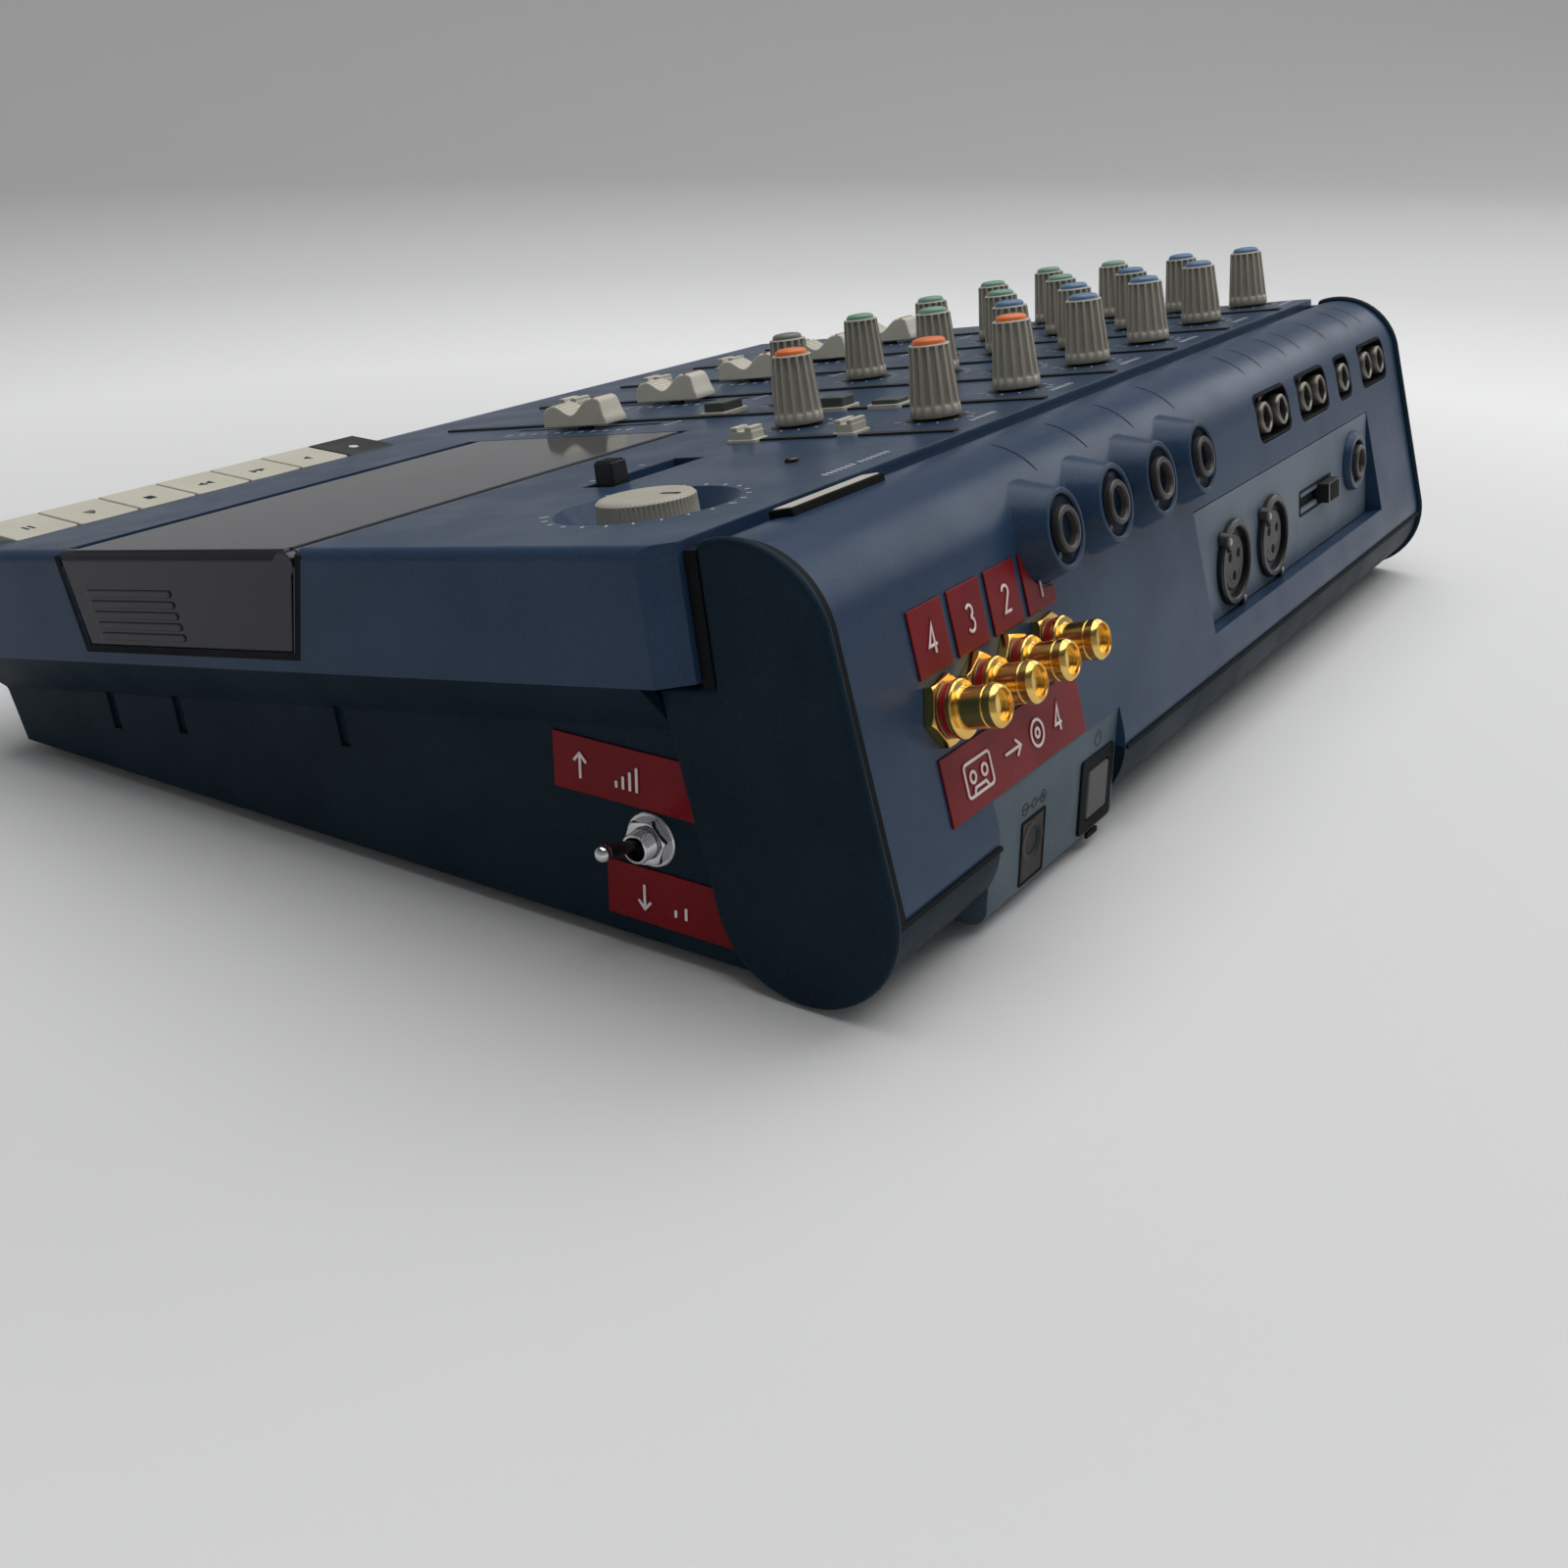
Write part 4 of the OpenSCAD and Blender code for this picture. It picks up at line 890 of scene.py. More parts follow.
def make_gold_socket(i):
    at = on_rear(gold_first - i * gold_pitch, gold_s)
    spin = math.radians(7 + 19 * i)
    bm = bmesh.new()
    make_nut(bm, 7.0, 0.0, 2.2, 3.2, spin)
    instead = ("gold_sockets",) if i == 0 else ()
    piece(f"gold_nut_{i + 1}", bm, at, "gold", bevel=0.12, instead=instead, sharp=25)
    bm = bmesh.new()
    turned(bm, [(3.2, 2.15), (5.2, 2.15), (5.3, 2.25), (5.3, 2.4), (3.2, 2.45)], 64)
    piece(f"gold_washer_{i + 1}", bm, at, "barrel_grey")
    bm = bmesh.new()
    turned(bm, [(3.2, 2.5), (5.15, 2.5), (5.3, 2.65), (5.3, 3.75), (5.1, 3.9), (3.2, 3.9)], 64)
    piece(f"red_ring_{i + 1}", bm, at, "red_ring")
    bm = bmesh.new()
    shell = [(3.0, 3.85), (5.3, 3.85), (5.6, 4.1), (5.6, 4.9), (5.3, 5.15), (4.2, 5.3), (3.98, 5.5),
             (3.98, 10.3), (3.85, 10.4), (3.85, 10.6), (4.15, 10.8), (4.15, 12.3), (3.6, 13.05), (3.35, 13.2),
             (3.1, 13.15), (3.0, 12.9), (3.0, 12.0), (2.9, 11.9)]
    turned(bm, shell, 72)
    piece(f"gold_barrel_{i + 1}", bm, at, "gold", sharp=26)
    bm = bmesh.new()
    turned(bm, [(2.95, 10.4), (2.95, 11.5), (2.8, 11.65), (1.9, 11.65), (1.75, 11.5), (1.75, 9.0),
                (0, 9.0)], 48)
    piece(f"insulator_{i + 1}", bm, at, "insulator")
    # The centre contact is near black: painted shade in its hole.
    bm = bmesh.new()
    turned(bm, [(1.7, 9.1), (1.7, 10.9), (1.45, 11.0), (1.35, 10.7), (1.35, 9.4), (0, 9.4)], 36)
    piece(f"contact_hole_shade_{i + 1}", bm, at, "deep_black_and_hole_shade")


for i in range(4):
    make_gold_socket(i)
print("gold sockets 4")

# %% [markdown]
# ## Line jacks
# Each line jack sits in a blue boss. Inside the boss is a dark well, and in the well a grey collar round the
# plug's hole. The insert is one turned profile, so the light falls into the well as it does on the real one.

# %% Line jacks
jack_x = 91.0
jack_pitch = 25.7
jack_s = 52.7
jack_boss_h = 6.0


def make_jack(name, at, boss_h, well_r, instead=()):
    bm = bmesh.new()
    turned(bm, [(well_r, boss_h - 9), (well_r, boss_h - 0.5), (well_r - 0.35, boss_h - 0.4),
                (well_r - 0.5, boss_h - 0.8), (well_r - 0.5, boss_h - 3.4), (5.1, boss_h - 3.4),
                (5.0, boss_h - 3.2)], 64)
    piece(name + "_well", bm, at, "deep_black_and_hole_shade", instead=instead)
    bm = bmesh.new()
    turned(bm, [(4.8, boss_h - 3.6), (4.8, boss_h + 0.8), (4.5, boss_h + 1.2), (3.85, boss_h + 1.25),
                (3.5, boss_h + 1.0), (3.3, boss_h + 0.5), (3.3, boss_h - 9)], 64)
    piece(name + "_collar", bm, at, "collar_grey", sharp=28)
    # A near black disc at the bottom of the plug's hole: painted shade.
    bm = bmesh.new()
    turned(bm, [(3.32, boss_h - 8), (3.2, boss_h - 8), (0, boss_h - 8.2)], 32)
    piece(name + "_depth", bm, at, "deep_black_and_hole_shade")
    bm = bmesh.new()
    rounded_box(bm, 1.2, 1.6, boss_h - 3.5, boss_h - 0.3, 0.2, turn(math.radians(-40), "Z"), 0, -6.0)
    piece(name + "_key", bm, at, "collar_grey", bevel=0.12)


for i in range(4):
    make_jack(f"line_jack_{i + 1}", on_rear(jack_x - i * jack_pitch, jack_s), jack_boss_h, 7.15,
              ("phone_jacks",) if i == 0 else ())
    bm = bmesh.new()
    lip = [(7.2, -0.4), (7.2, 0.05), (7.5, 0.28), (8.1, 0.28), (8.42, 0.0), (8.5, -0.4)]
    turned(bm, [(r, jack_boss_h + z) for r, z in lip], 72)
    piece(f"jack_lip_{i + 1}", bm, on_rear(jack_x - i * jack_pitch, jack_s), "blue_paint")
print("line jacks 4")

# %% [markdown]
# ## Phono sockets
# The older sockets sit in pairs in black wells with round corners. Each one is a grey barrel with a bright
# rolled lip round a dark hole. The well is a rounded outline with its inside cut away.

# %% Phono wells
phono_first = (-48.5, -82.5, -118.0, -141.6)
phono_count = (2, 2, 1, 2)
phono_pitch = 13.0
phono_s = 52.5


def rounded_well(bm, w, h, r, wall, floor, lip):
    """A cup with a rounded outline: outer wall, lip, inner wall and floor."""
    rings = []
    for dw, z in ((0, floor - 0.5), (0, lip), (wall * 0.5, lip + 0.12), (wall, lip), (wall + 0.2, floor)):
        outline = rounded_outline(w - 2 * dw, h - 2 * dw, max(0.6, r - dw), 8)
        rings.append([bm.verts.new((x, y, z)) for x, y in outline])
    n = len(rings[0])
    for low, high in zip(rings, rings[1:]):
        for k in range(n):
            j = (k + 1) % n
            bm.faces.new((low[k], low[j], high[j], high[k]))
    bm.faces.new(rings[-1])
    bm.faces.new(rings[0][::-1])


for i, (first, count) in enumerate(zip(phono_first, phono_count)):
    centre = first - (count - 1) * phono_pitch / 2
    bm = bmesh.new()
    rounded_well(bm, 12.8 + (count - 1) * phono_pitch, 12.8, 2.9, 0.7, -7.0, -0.3)
    piece(f"phono_well_{i + 1}", bm, on_rear(centre, phono_s), "deep_black_and_hole_shade",
          instead=("phono_sockets",) if i == 0 else ())
    for j in range(count):
        at = on_rear(first - j * phono_pitch, phono_s)
        bm = bmesh.new()
        turned(bm, [(5.2, -7), (5.2, -4.6), (4.15, -4.4), (4.15, -0.1), (4.0, 0.35), (3.6, 0.6), (3.2, 0.55),
                    (3.0, 0.2), (3.0, -1.2)], 56)
        piece(f"phono_barrel_{i + 1}_{j + 1}", bm, at, "barrel_grey", sharp=24)
        bm = bmesh.new()
        turned(bm, [(3.0, -2), (3.0, -0.6), (2.8, -0.4), (1.9, -0.45), (1.7, -0.7), (1.7, -5), (0, -5)], 40)
        piece(f"phono_core_{i + 1}_{j + 1}", bm, at, "deep_black_and_hole_shade")
print("phono sockets", sum(phono_count))

# %% [markdown]
# ## Microphone sockets
# A locking microphone socket has a black surround, a grey face that floats in a dark gap, three contact
# holes, and a thumb latch at its upper left. The sockets sit on the sunken plate.

# %% Microphone sockets
mic_x = -15.2
mic_pitch = 30.0
mic_s = 21.4
mic_r = 11.0


def make_mic(i):
    at = on_plate(mic_x - i * mic_pitch, mic_s)
    tag = f"_{i + 1}"
    bm = bmesh.new()
    turned(bm, [(mic_r, 0.02), (mic_r, 1.2), (mic_r - 0.5, 1.75), (mic_r - 1.6, 1.8), (mic_r - 2.0, 1.4),
                (mic_r - 2.1, -4), (0, -4)], 72)
    piece("mic_surround" + tag, bm, at, "black_plastic",
          instead=("mic_sockets",) if i == 0 else ())
    bm = bmesh.new()
    turned(bm, [(7.0, -4.1), (7.3, -0.4), (7.2, 0.3), (6.7, 0.65), (5.5, 0.7), (0, 0.7)], 64)
    piece("mic_face" + tag, bm, at, "dark_plastic")
    # The three contact holes are near black discs on the face: painted shade.
    bm = bmesh.new()
    for angle in (90, 210, 330):
        x, y = 3.5 * math.cos(math.radians(angle + 60)), 3.5 * math.sin(math.radians(angle + 60))
        turned(bm, [(1.25, 0.3), (1.25, 0.74), (1.15, 0.76), (0, 0.74)], 24, move(x, y))
    piece("mic_hole_shade" + tag, bm, at, "deep_black_and_hole_shade")
    # The arc groove on the face is a black stroke: painted shade.
    bm = bmesh.new()
    ribbon(bm, arc(0, -0.6, 4.4, 205, 335, 12), 0.35, 0.6, 0.78)
    piece("mic_groove_shade" + tag, bm, at, "black_plastic")
    bm = bmesh.new()
    extruded(bm, rounded_outline(3.6, 7.0, 1.7, 6), 0.2, 2.6, inset=0.5)
    latch = at @ turn(math.radians(46), "Z") @ move(-0.4, mic_r - 1.2)
    piece("mic_latch" + tag, bm, latch, "dark_plastic", bevel=0.4, segments=3)
    bm = bmesh.new()
    turned(bm, [(0.9, 2.5), (0.85, 2.75), (0.5, 2.9), (0, 2.92)], 20, move(0, 0.6))
    piece("mic_latch_rivet" + tag, bm, latch, "steel")
    bm = bmesh.new()
    rounded_box(bm, 3.0, 4.2, 0.0, 1.5, 0.9, x=5.6, y=-mic_r + 0.8)
    piece("mic_foot" + tag, bm, at, "black_plastic", bevel=0.3)
    bm = bmesh.new()
    turned(bm, [(1.0, 1.4), (0.95, 1.62), (0.6, 1.75), (0, 1.75)], 20, move(5.6, -mic_r + 0.2))
    piece("mic_screw" + tag, bm, at, "steel")


for i in range(2):
    make_mic(i)
print("microphone sockets 2")

# %% [markdown]
# The fifth phone jack stands on the same plate in a low round boss, and beside it a black slide with four
# ribs picks the input. Both reuse the helpers of their larger relatives.

# %% Jack and mode slide on the plate
plate_jack = on_plate(-119.0, 27.5)
bm = bmesh.new()
turned(bm, [(8.8, 0.02), (8.5, 1.4), (8.0, 2.1), (6.5, 2.1), (6.2, 1.8), (6.1, 0.2)], 64)
piece("plate_jack_boss", bm, plate_jack, "blue_paint")
make_jack("plate_jack", plate_jack, 2.0, 6.1)

mode = on_plate(-84.0, 24.5)
# The well round the slide is near black: painted shade in the recess.
bm = bmesh.new()
rounded_well(bm, 28.6, 7.4, 0.9, 0.8, -1.0, 0.15)
piece("mode_well", bm, mode, "seam_shadow", bevel=0.1)
bm = bmesh.new()
rounded_box(bm, 11.0, 5.6, -0.9, 3.4, 0.5, x=7.2)
for k in range(4):
    rounded_box(bm, 0.5, 5.0, 3.3, 3.75, 0.15, x=4.2 + 2 * k)
piece("mode_slide", bm, mode, "black_plastic", bevel=0.3)
print("plate jack and mode slide made")

# %% [markdown]
# ## Embossed tape labels
# The labels were pressed into red vinyl tape. Where a letter wheel stretches the vinyl it turns white, and a
# soft shoulder rises round each stroke. So a mark is two ribbons: a wide low one in the tape's own red and a
# narrow high one in white. The numbers count the tracks; every other mark here is a plain pictogram.

# %% Strokes for numbers and pictograms
def ellipse(cx, cy, rx, ry, a0=0, a1=360, steps=16):
    turns = [math.radians(a0 + (a1 - a0) * k / steps) for k in range(steps + 1)]
    return [(cx + rx * math.cos(t), cy + ry * math.sin(t)) for t in turns]


glyphs = {
    "1": [[(-0.55, 1.5), (0.1, 2.6), (0.1, -2.6)]],
    "2": [ellipse(0, 1.4, 1.25, 1.2, 170, -30, 10) + [(-1.3, -2.6), (1.4, -2.6)]],
    "3": [ellipse(0, 1.35, 1.2, 1.2, 150, -80, 10), ellipse(0, -1.2, 1.3, 1.35, 80, -150, 10)],
    "4": [[(0.6, -2.6), (0.6, 2.6), (-1.5, -1.0), (1.5, -1.0)]],
    "arrow_up": [[(0, -2.6), (0, 2.5)], [(-1.5, 0.9), (0, 2.6), (1.5, 0.9)]],
    "arrow_down": [[(0, 2.6), (0, -2.5)], [(-1.5, -0.9), (0, -2.6), (1.5, -0.9)]],
    "arrow_out": [[(-3.4, 0), (3.3, 0)], [(1.4, 1.7), (3.4, 0), (1.4, -1.7)]],
    "bars_full": [[(-2.4, -2.5), (-2.4, -1.0)], [(-0.8, -2.5), (-0.8, 0.2)], [(0.8, -2.5), (0.8, 1.4)],
                  [(2.4, -2.5), (2.4, 2.6)]],
    "bars_low": [[(-1.2, -2.5), (-1.2, -0.9)], [(1.2, -2.5), (1.2, 0.1)]],
    "cassette": [rounded_outline(11.5, 7.2, 1.0, 3) + [(5.75, 2.6)], ellipse(-2.6, 0.3, 1.2, 1.2),
                 ellipse(2.6, 0.3, 1.2, 1.2), [(-3.2, -3.4), (-2.4, -2.1), (2.4, -2.1), (3.2, -3.4)]],
    "socket": [ellipse(0, 0, 2.7, 2.7), ellipse(0, 0, 0.9, 0.9)],
}
stroke_w = 0.62
shoulder_w = 1.25
tape_t = 0.4


def is_closed(path):
    return len(path) > 3 and (Vector(path[0]) - Vector(path[-1])).length < 0.05


def emboss(name, at, marks):
    """marks: (glyph, x, y, scale). Adds the shoulders and the white strokes on a tape."""
    low = bmesh.new()
    high = bmesh.new()
    for glyph, x, y, scale in marks:
        for path in glyphs[glyph]:
            path = [(x + px * scale, y + py * scale) for px, py in path]
            closed = is_closed(path)
            if closed:
                path = path[:-1]
            ribbon(low, path, shoulder_w, tape_t - 0.1, tape_t + 0.12, closed=closed)
            ribbon(high, path, stroke_w, tape_t, tape_t + 0.3, closed=closed)
    piece(name + "_shoulders", low, at, "label_tape", bevel=0.2, segments=2)
    piece(name + "_strokes", high, at, "stress_white", bevel=0.16, segments=2)


print("glyphs", len(glyphs))

# %% [markdown]
# The seven pieces of tape are in the frame already. Here their edges are softened and each gets its marks,
# placed in millimetres about the middle of the tape.

# %% The tapes
softened("red_labels", "label_tape", 0.12, segments=2)
number_x = 141.5
number_pitch = 15.1
for k, glyph in enumerate("4321"):
    emboss("number_" + glyph, on_rear(number_x - k * number_pitch, 44.7),
           [(glyph, 0.2, -0.6 if k < 3 else -1.6, 1.0)])
long_tape = on_rear(118.0, 16.2)
emboss("output_tape", long_tape, [("cassette", -17.5, 0, 0.9), ("arrow_out", -3.0, 0, 1.0),
                                  ("socket", 8.0, 0, 1.0), ("4", 17.5, 0, 1.0)])
emboss("high_tape", on_wall(70.5, 36.0), [("arrow_up", -9.5, 0, 1.0), ("bars_full", 1.5, 0, 1.0)])
emboss("low_tape", on_wall(83.0, 12.2), [("arrow_down", -7.5, 0, 1.0), ("bars_low", 1.0, 0, 1.0)])
print("tapes dressed")

# %% [markdown]
# ## Toggle switch
# A small chrome toggle sticks out of the right wall: a washer, a hexagonal nut, a threaded bushing and a
# black lever with a steel ball. The thread is a zigzag in the turned profile. The lever rides on its own
# body, so it flips while the bushing stays.

# %% Toggle
toggle_y = case_d / 2 - 54.3
toggle_z = 24.5
toggle_tilt = math.radians(12)
bushing_r = 3.1
bushing_len = 5.6
wall_at = on_wall(toggle_y, toggle_z)
bm = bmesh.new()
turned(bm, [(3.15, -0.05), (5.6, -0.05), (5.6, 0.35), (5.35, 0.6), (3.15, 0.6)], 72)
piece("toggle_washer", bm, wall_at, "chrome", instead=("toggle_bushing",))
bm = bmesh.new()
make_nut(bm, 4.9, 0.6, 2.6, 3.12, math.radians(12))
piece("toggle_nut", bm, wall_at, "chrome", bevel=0.1, sharp=25)
bm = bmesh.new()
thread = [(2.6, -4.0), (3.1, -4.0), (3.1, 0.3)]
pitch = 0.62
for k in range(8):
    z = 0.5 + k * pitch
    thread += [(bushing_r - 0.02, z), (bushing_r - 0.38, z + pitch * 0.5)]
thread += [(bushing_r - 0.1, bushing_len - 0.25), (bushing_r - 0.35, bushing_len), (2.45, bushing_len),
           (2.3, bushing_len - 0.3), (2.3, 1.0)]
turned(bm, thread, 72)
piece("toggle_thread", bm, wall_at, "chrome", sharp=50)
# A near black disc down in the bushing's bore: painted shade.
bm = bmesh.new()
turned(bm, [(2.29, 3.4), (1.2, 3.3), (0, 3.3)], 32)
piece("toggle_bore_shade", bm, wall_at, "deep_black_and_hole_shade")

lever_at = on_wall(toggle_y, toggle_z, 1.0) @ turn(-toggle_tilt, "X")
lever_end = bushing_len + 10.4 - 2
ball_r = 1.65
bm = bmesh.new()
turned(bm, [(0, 0.2), (0.95, 0.4), (1.05, bushing_len), (1.25, bushing_len + 2), (1.5, lever_end - 1.2),
            (1.45, lever_end - 0.6), (1.1, lever_end - 0.2), (0, lever_end - 0.1)], 40)
piece("toggle_bat", bm, lever_at, "black_plastic", body="toggle_lever",
      instead=("toggle_lever",))
bm = bmesh.new()
ball = [(ball_r * math.cos(math.radians(a)), lever_end + ball_r * math.sin(math.radians(a)))
        for a in range(-60, 90, 10)]
turned(bm, [(0, lever_end - 1.45)] + ball + [(0, lever_end + ball_r)], 40)
piece("toggle_ball", bm, lever_at, "chrome", body="toggle_lever", sharp=60)
print("toggle switch made")

# %% [markdown]
# ## Power plate
# The upright plate carries the power inlet and the power switch: a thin black frame round a grey block with
# the plug's hole, and a thick black bezel round a grey button. Its printed marks are the ordinary signs for
# polarity and power.

# %% Inlet, switch and signs
dc_x, dc_z = 112.0, 13.7
button_x, button_z = 80.8, 14.0


def frame_ring(bm, w, h, r, wall, z0, z1):
    """A flat frame: outer outline, inner outline, joined at both heights."""
    outer = rounded_outline(w, h, r, 5)
    inner = rounded_outline(w - 2 * wall, h - 2 * wall, max(0.3, r - wall), 5)
    corners = ((outer, z0), (outer, z1), (inner, z1), (inner, z0))
    loops = [[bm.verts.new((x, y, z)) for x, y in ring] for ring, z in corners]
    n = len(outer)
    for a, b in zip(loops, loops[1:] + loops[:1]):
        for k in range(n):
            j = (k + 1) % n
            bm.faces.new((a[k], a[j], b[j], b[k]))


power_at = on_power()
inlet = on_power(dc_x, dc_z - 1.3)
bm = bmesh.new()
frame_ring(bm, 11.2, 14.4, 0.5, 0.7, -0.4, 0.25)
piece("inlet_frame", bm, inlet, "deep_black_and_hole_shade", bevel=0.1)
bm = bmesh.new()
frame_ring(bm, 9.8, 13.0, 0.3, 1.5, -0.4, 0.12)
piece("inlet_face", bm, inlet, "inlet_brown")
bm = bmesh.new()
turned(bm, [(3.35, -3.0), (3.35, 0.05), (3.6, 0.2), (4.9, 0.2), (4.95, -0.3)], 48, move(0, 1.3))
rounded_box(bm, 8.6, 4.6, -0.3, 0.14, 0.3, x=0, y=-4.2)
piece("inlet_rim", bm, inlet, "inlet_brown")
bm = bmesh.new()
turned(bm, [(3.3, -6), (3.2, -6.2), (0, -6.2)], 32, move(0, 1.3))
turned(bm, [(0.9, -6.2), (0.9, -1.2), (0.5, -0.8), (0, -0.8)], 24, move(0, 1.3))
piece("inlet_pin", bm, inlet, "steel")

switch_at = on_power(button_x, button_z)
bm = bmesh.new()
frame_ring(bm, 16.6, 17.2, 0.9, 2.9, -0.4, 0.55)
piece("switch_bezel", bm, switch_at, "deep_black_and_hole_shade", bevel=0.25)
bm = bmesh.new()
extruded(bm, rounded_outline(10.4, 11.0, 0.8, 5), -11, 0.8)
piece("power_button_cap", bm, switch_at, "grey_button", body="power_button", bevel=0.4,
      segments=3, instead=("power_button",))
# A near black strip under the button stands for a slot: painted shade.
bm = bmesh.new()
rounded_box(bm, 5.5, 1.3, -0.5, 0.06, 0.3, x=0.5, y=-10.7)
piece("plate_slot_shade", bm, switch_at, "deep_black_and_hole_shade")

bm = bmesh.new()
sign_y = dc_z + 8.4
sign_t = 0.05
for sx, kind in ((-4.2, "minus"), (0.0, "centre"), (4.2, "plus")):
    at = move(-dc_x + sx, sign_y)
    r = 1.25 if kind != "centre" else 0.95
    circle = [(r * math.cos(a * math.pi / 12), r * math.sin(a * math.pi / 12)) for a in range(24)]
    ribbon(bm, circle, 0.42, -0.1, sign_t, at, closed=True)
    if kind != "centre":
        ribbon(bm, [(-0.7, 0), (0.7, 0)], 0.42, -0.1, sign_t, at)
    if kind == "plus":
        ribbon(bm, [(0, -0.7), (0, 0.7)], 0.42, -0.1, sign_t, at)
    if kind != "plus":
        ribbon(bm, [(r + 0.1, 0), (2.9, 0)], 0.42, -0.1, sign_t, at)
at = move(-button_x, button_z + 11.6)
ribbon(bm, arc(0, 0, 1.6, 125, 415, 18), 0.35, -0.1, sign_t, at)
ribbon(bm, [(0, 0.3), (0, 2.1)], 0.35, -0.1, sign_t, at)
piece("power_signs", bm, power_at, "legend_dark_and_groove_shade")
print("power plate dressed")

# %% [markdown]
# ## Pitch knob
# The pitch knob is a flat cream disc with a finely ribbed rim, sunk in a round dish. A short black line on
# its top points to the middle of its range.

# %% Pitch knob
pitch_x, pitch_d = 142.4, -31.3
pitch_r = 10.3


def fine_ribs(angle, height):
    inside = -4.0 < height < 1.25
    return 0.3 * (1 + math.cos(angle * 64)) / 2 if inside else 0.0


bm = bmesh.new()
turned(bm, [(4, -4.6), (pitch_r - 0.4, -4.6), (pitch_r, -4.2), (pitch_r, -3.9), (pitch_r - 0.25, 1.0),
            (pitch_r - 0.3, 1.4), (pitch_r - 0.9, 1.95), (pitch_r - 1.6, 2.14), (pitch_r - 3.0, 2.2), (0, 2.2)],
       steps=64 * 5, shape=fine_ribs)
piece("pitch_disc", bm, on_panel(pitch_x, pitch_d), "knob_plastic", body="pitch_knob",
      instead=("pitch_knob",), sharp=45)
bm = bmesh.new()
ribbon(bm, [(0, 4.0), (0, 8.4)], 1.0, 2.0, 2.3)
piece("pitch_pointer", bm, on_panel(pitch_x, pitch_d), "legend_dark_and_groove_shade", body="pitch_knob")
bm = bmesh.new()
turned(bm, [(10.6, -4.9), (10.7, -4.72), (13.6, -4.72), (14.3, -4.8)], 64)
piece("dish_floor_ring", bm, on_panel(pitch_x, pitch_d), "blue_paint")
print("pitch knob made")

# %% [markdown]
# The speed slide is a small ribbed block on a thin stem. It rides on its own body, and the black strip under
# it, painted shade at the bottom of its slot, stays with the case.

# %% Speed slide
slide_at = on_panel(116.5, -60.3)
bm = bmesh.new()
extruded(bm, rounded_outline(5.8, 5.4, 0.6, 4), -2.6, 4.6, inset=0.25)
for k in range(4):
    rounded_box(bm, 0.5, 4.6, 4.4, 5.0, 0.15, x=-1.8 + 1.2 * k)
piece("speed_cap", bm, slide_at, "black_plastic", body="speed_slide", bevel=0.25,
      instead=("speed_slide",))
bm = bmesh.new()
rounded_box(bm, 29.0, 2.4, -3.05, -2.96, 0.5, x=-11.5)
piece("speed_slot_shade", bm, slide_at, "deep_black_and_hole_shade")
print("speed slide made")

# %% [markdown]
# ## Small switches
# Cream slide switches assign the channels, and grey push switches sit between the knobs. Each slide has a
# narrow ribbed finger piece on a wider block.

# %% Switches
fader_xs = [fader_first - i * fader_pitch for i in range(5)]
slides = [(67.5, -58, 6, 8), (63, -32, 7.5, 6)] + [(x, -177, 8, 9) for x in fader_xs[1:]]
pushes = [(17, -100, 10, 7, 3.5), (22, -61, 7, 8, 3.5), (22, -45, 7, 8, 2.2)]
for k, (x, d, w, length) in enumerate(slides):
    bm = bmesh.new()
    rounded_box(bm, w, length, -6, 0.7, 0.5)
    rounded_box(bm, w - 0.8, length * 0.8, 0.6, 2.6, 0.4)
    for side in (-1, 1):
        rounded_box(bm, w - 0.9, length * 0.24, 2.5, 3.6, 0.3, y=side * length * 0.25)
    piece(f"slide_switch_{k + 1}", bm, on_panel(x, d), "cream_plastic", bevel=0.2,
          instead=("panel_switches",) if k == 0 else ())
for k, (x, d, w, length, h) in enumerate(pushes):
    bm = bmesh.new()
    extruded(bm, rounded_outline(w, length, 0.7, 4), -6, h, inset=0.35)
    piece(f"push_switch_{k + 1}", bm, on_panel(x, d), "sage_button", bevel=0.35, segments=3)
    bm = bmesh.new()
    frame_ring(bm, w + 1.4, length + 1.4, 0.8, 0.6, -0.4, 1.1)
    piece(f"push_frame_{k + 1}", bm, on_panel(x, d), "cream_plastic", bevel=0.15)
bm = bmesh.new()
turned(bm, [(1.58, -0.5), (1.58, 0.62), (1.3, 0.85), (0.8, 1.0), (0, 1.05)], 32)
piece("record_lamp", bm, on_panel(98.6, -25.6), "lamp_dark")
print("switches", len(slides) + len(pushes))

# %% [markdown]
# ## Printed scales
# The panel carries fine white print, which every mixer needs to be read: a ring of ticks round each knob and a
# ladder of ticks beside each fader. Print has almost no thickness, so the ticks are only a few hundredths of
# a millimetre high. Black strips between the channels are painted shade standing for the grooves there, and a
# black ring under each knob finishes the panel.

# %% Ticks on the panel
print_h = 0.04
tick_w = 0.4
tick_r = 8.0
ladder_top = -116.5
ladder_len = 43
groove_shade_xs = (23, -19, -61, -103, -149.5)
groove_shade_w = 2.8
groove_shade_len = 194.5
groove_shade_h = 0.5


def knob_scale(bm, x, d, count=11, r=tick_r):
    for k in range(count):
        angle = math.radians(240 - 300 * k / (count - 1))
        length = 1.9 if k in (0, count // 2, count - 1) else 1.1
        a = Vector((math.cos(angle), math.sin(angle)))
        p, q = a * r, a * (r + length)
        ribbon(bm, [(x + p.x, d + p.y), (x + q.x, d + q.y)], tick_w, -0.05, print_h)


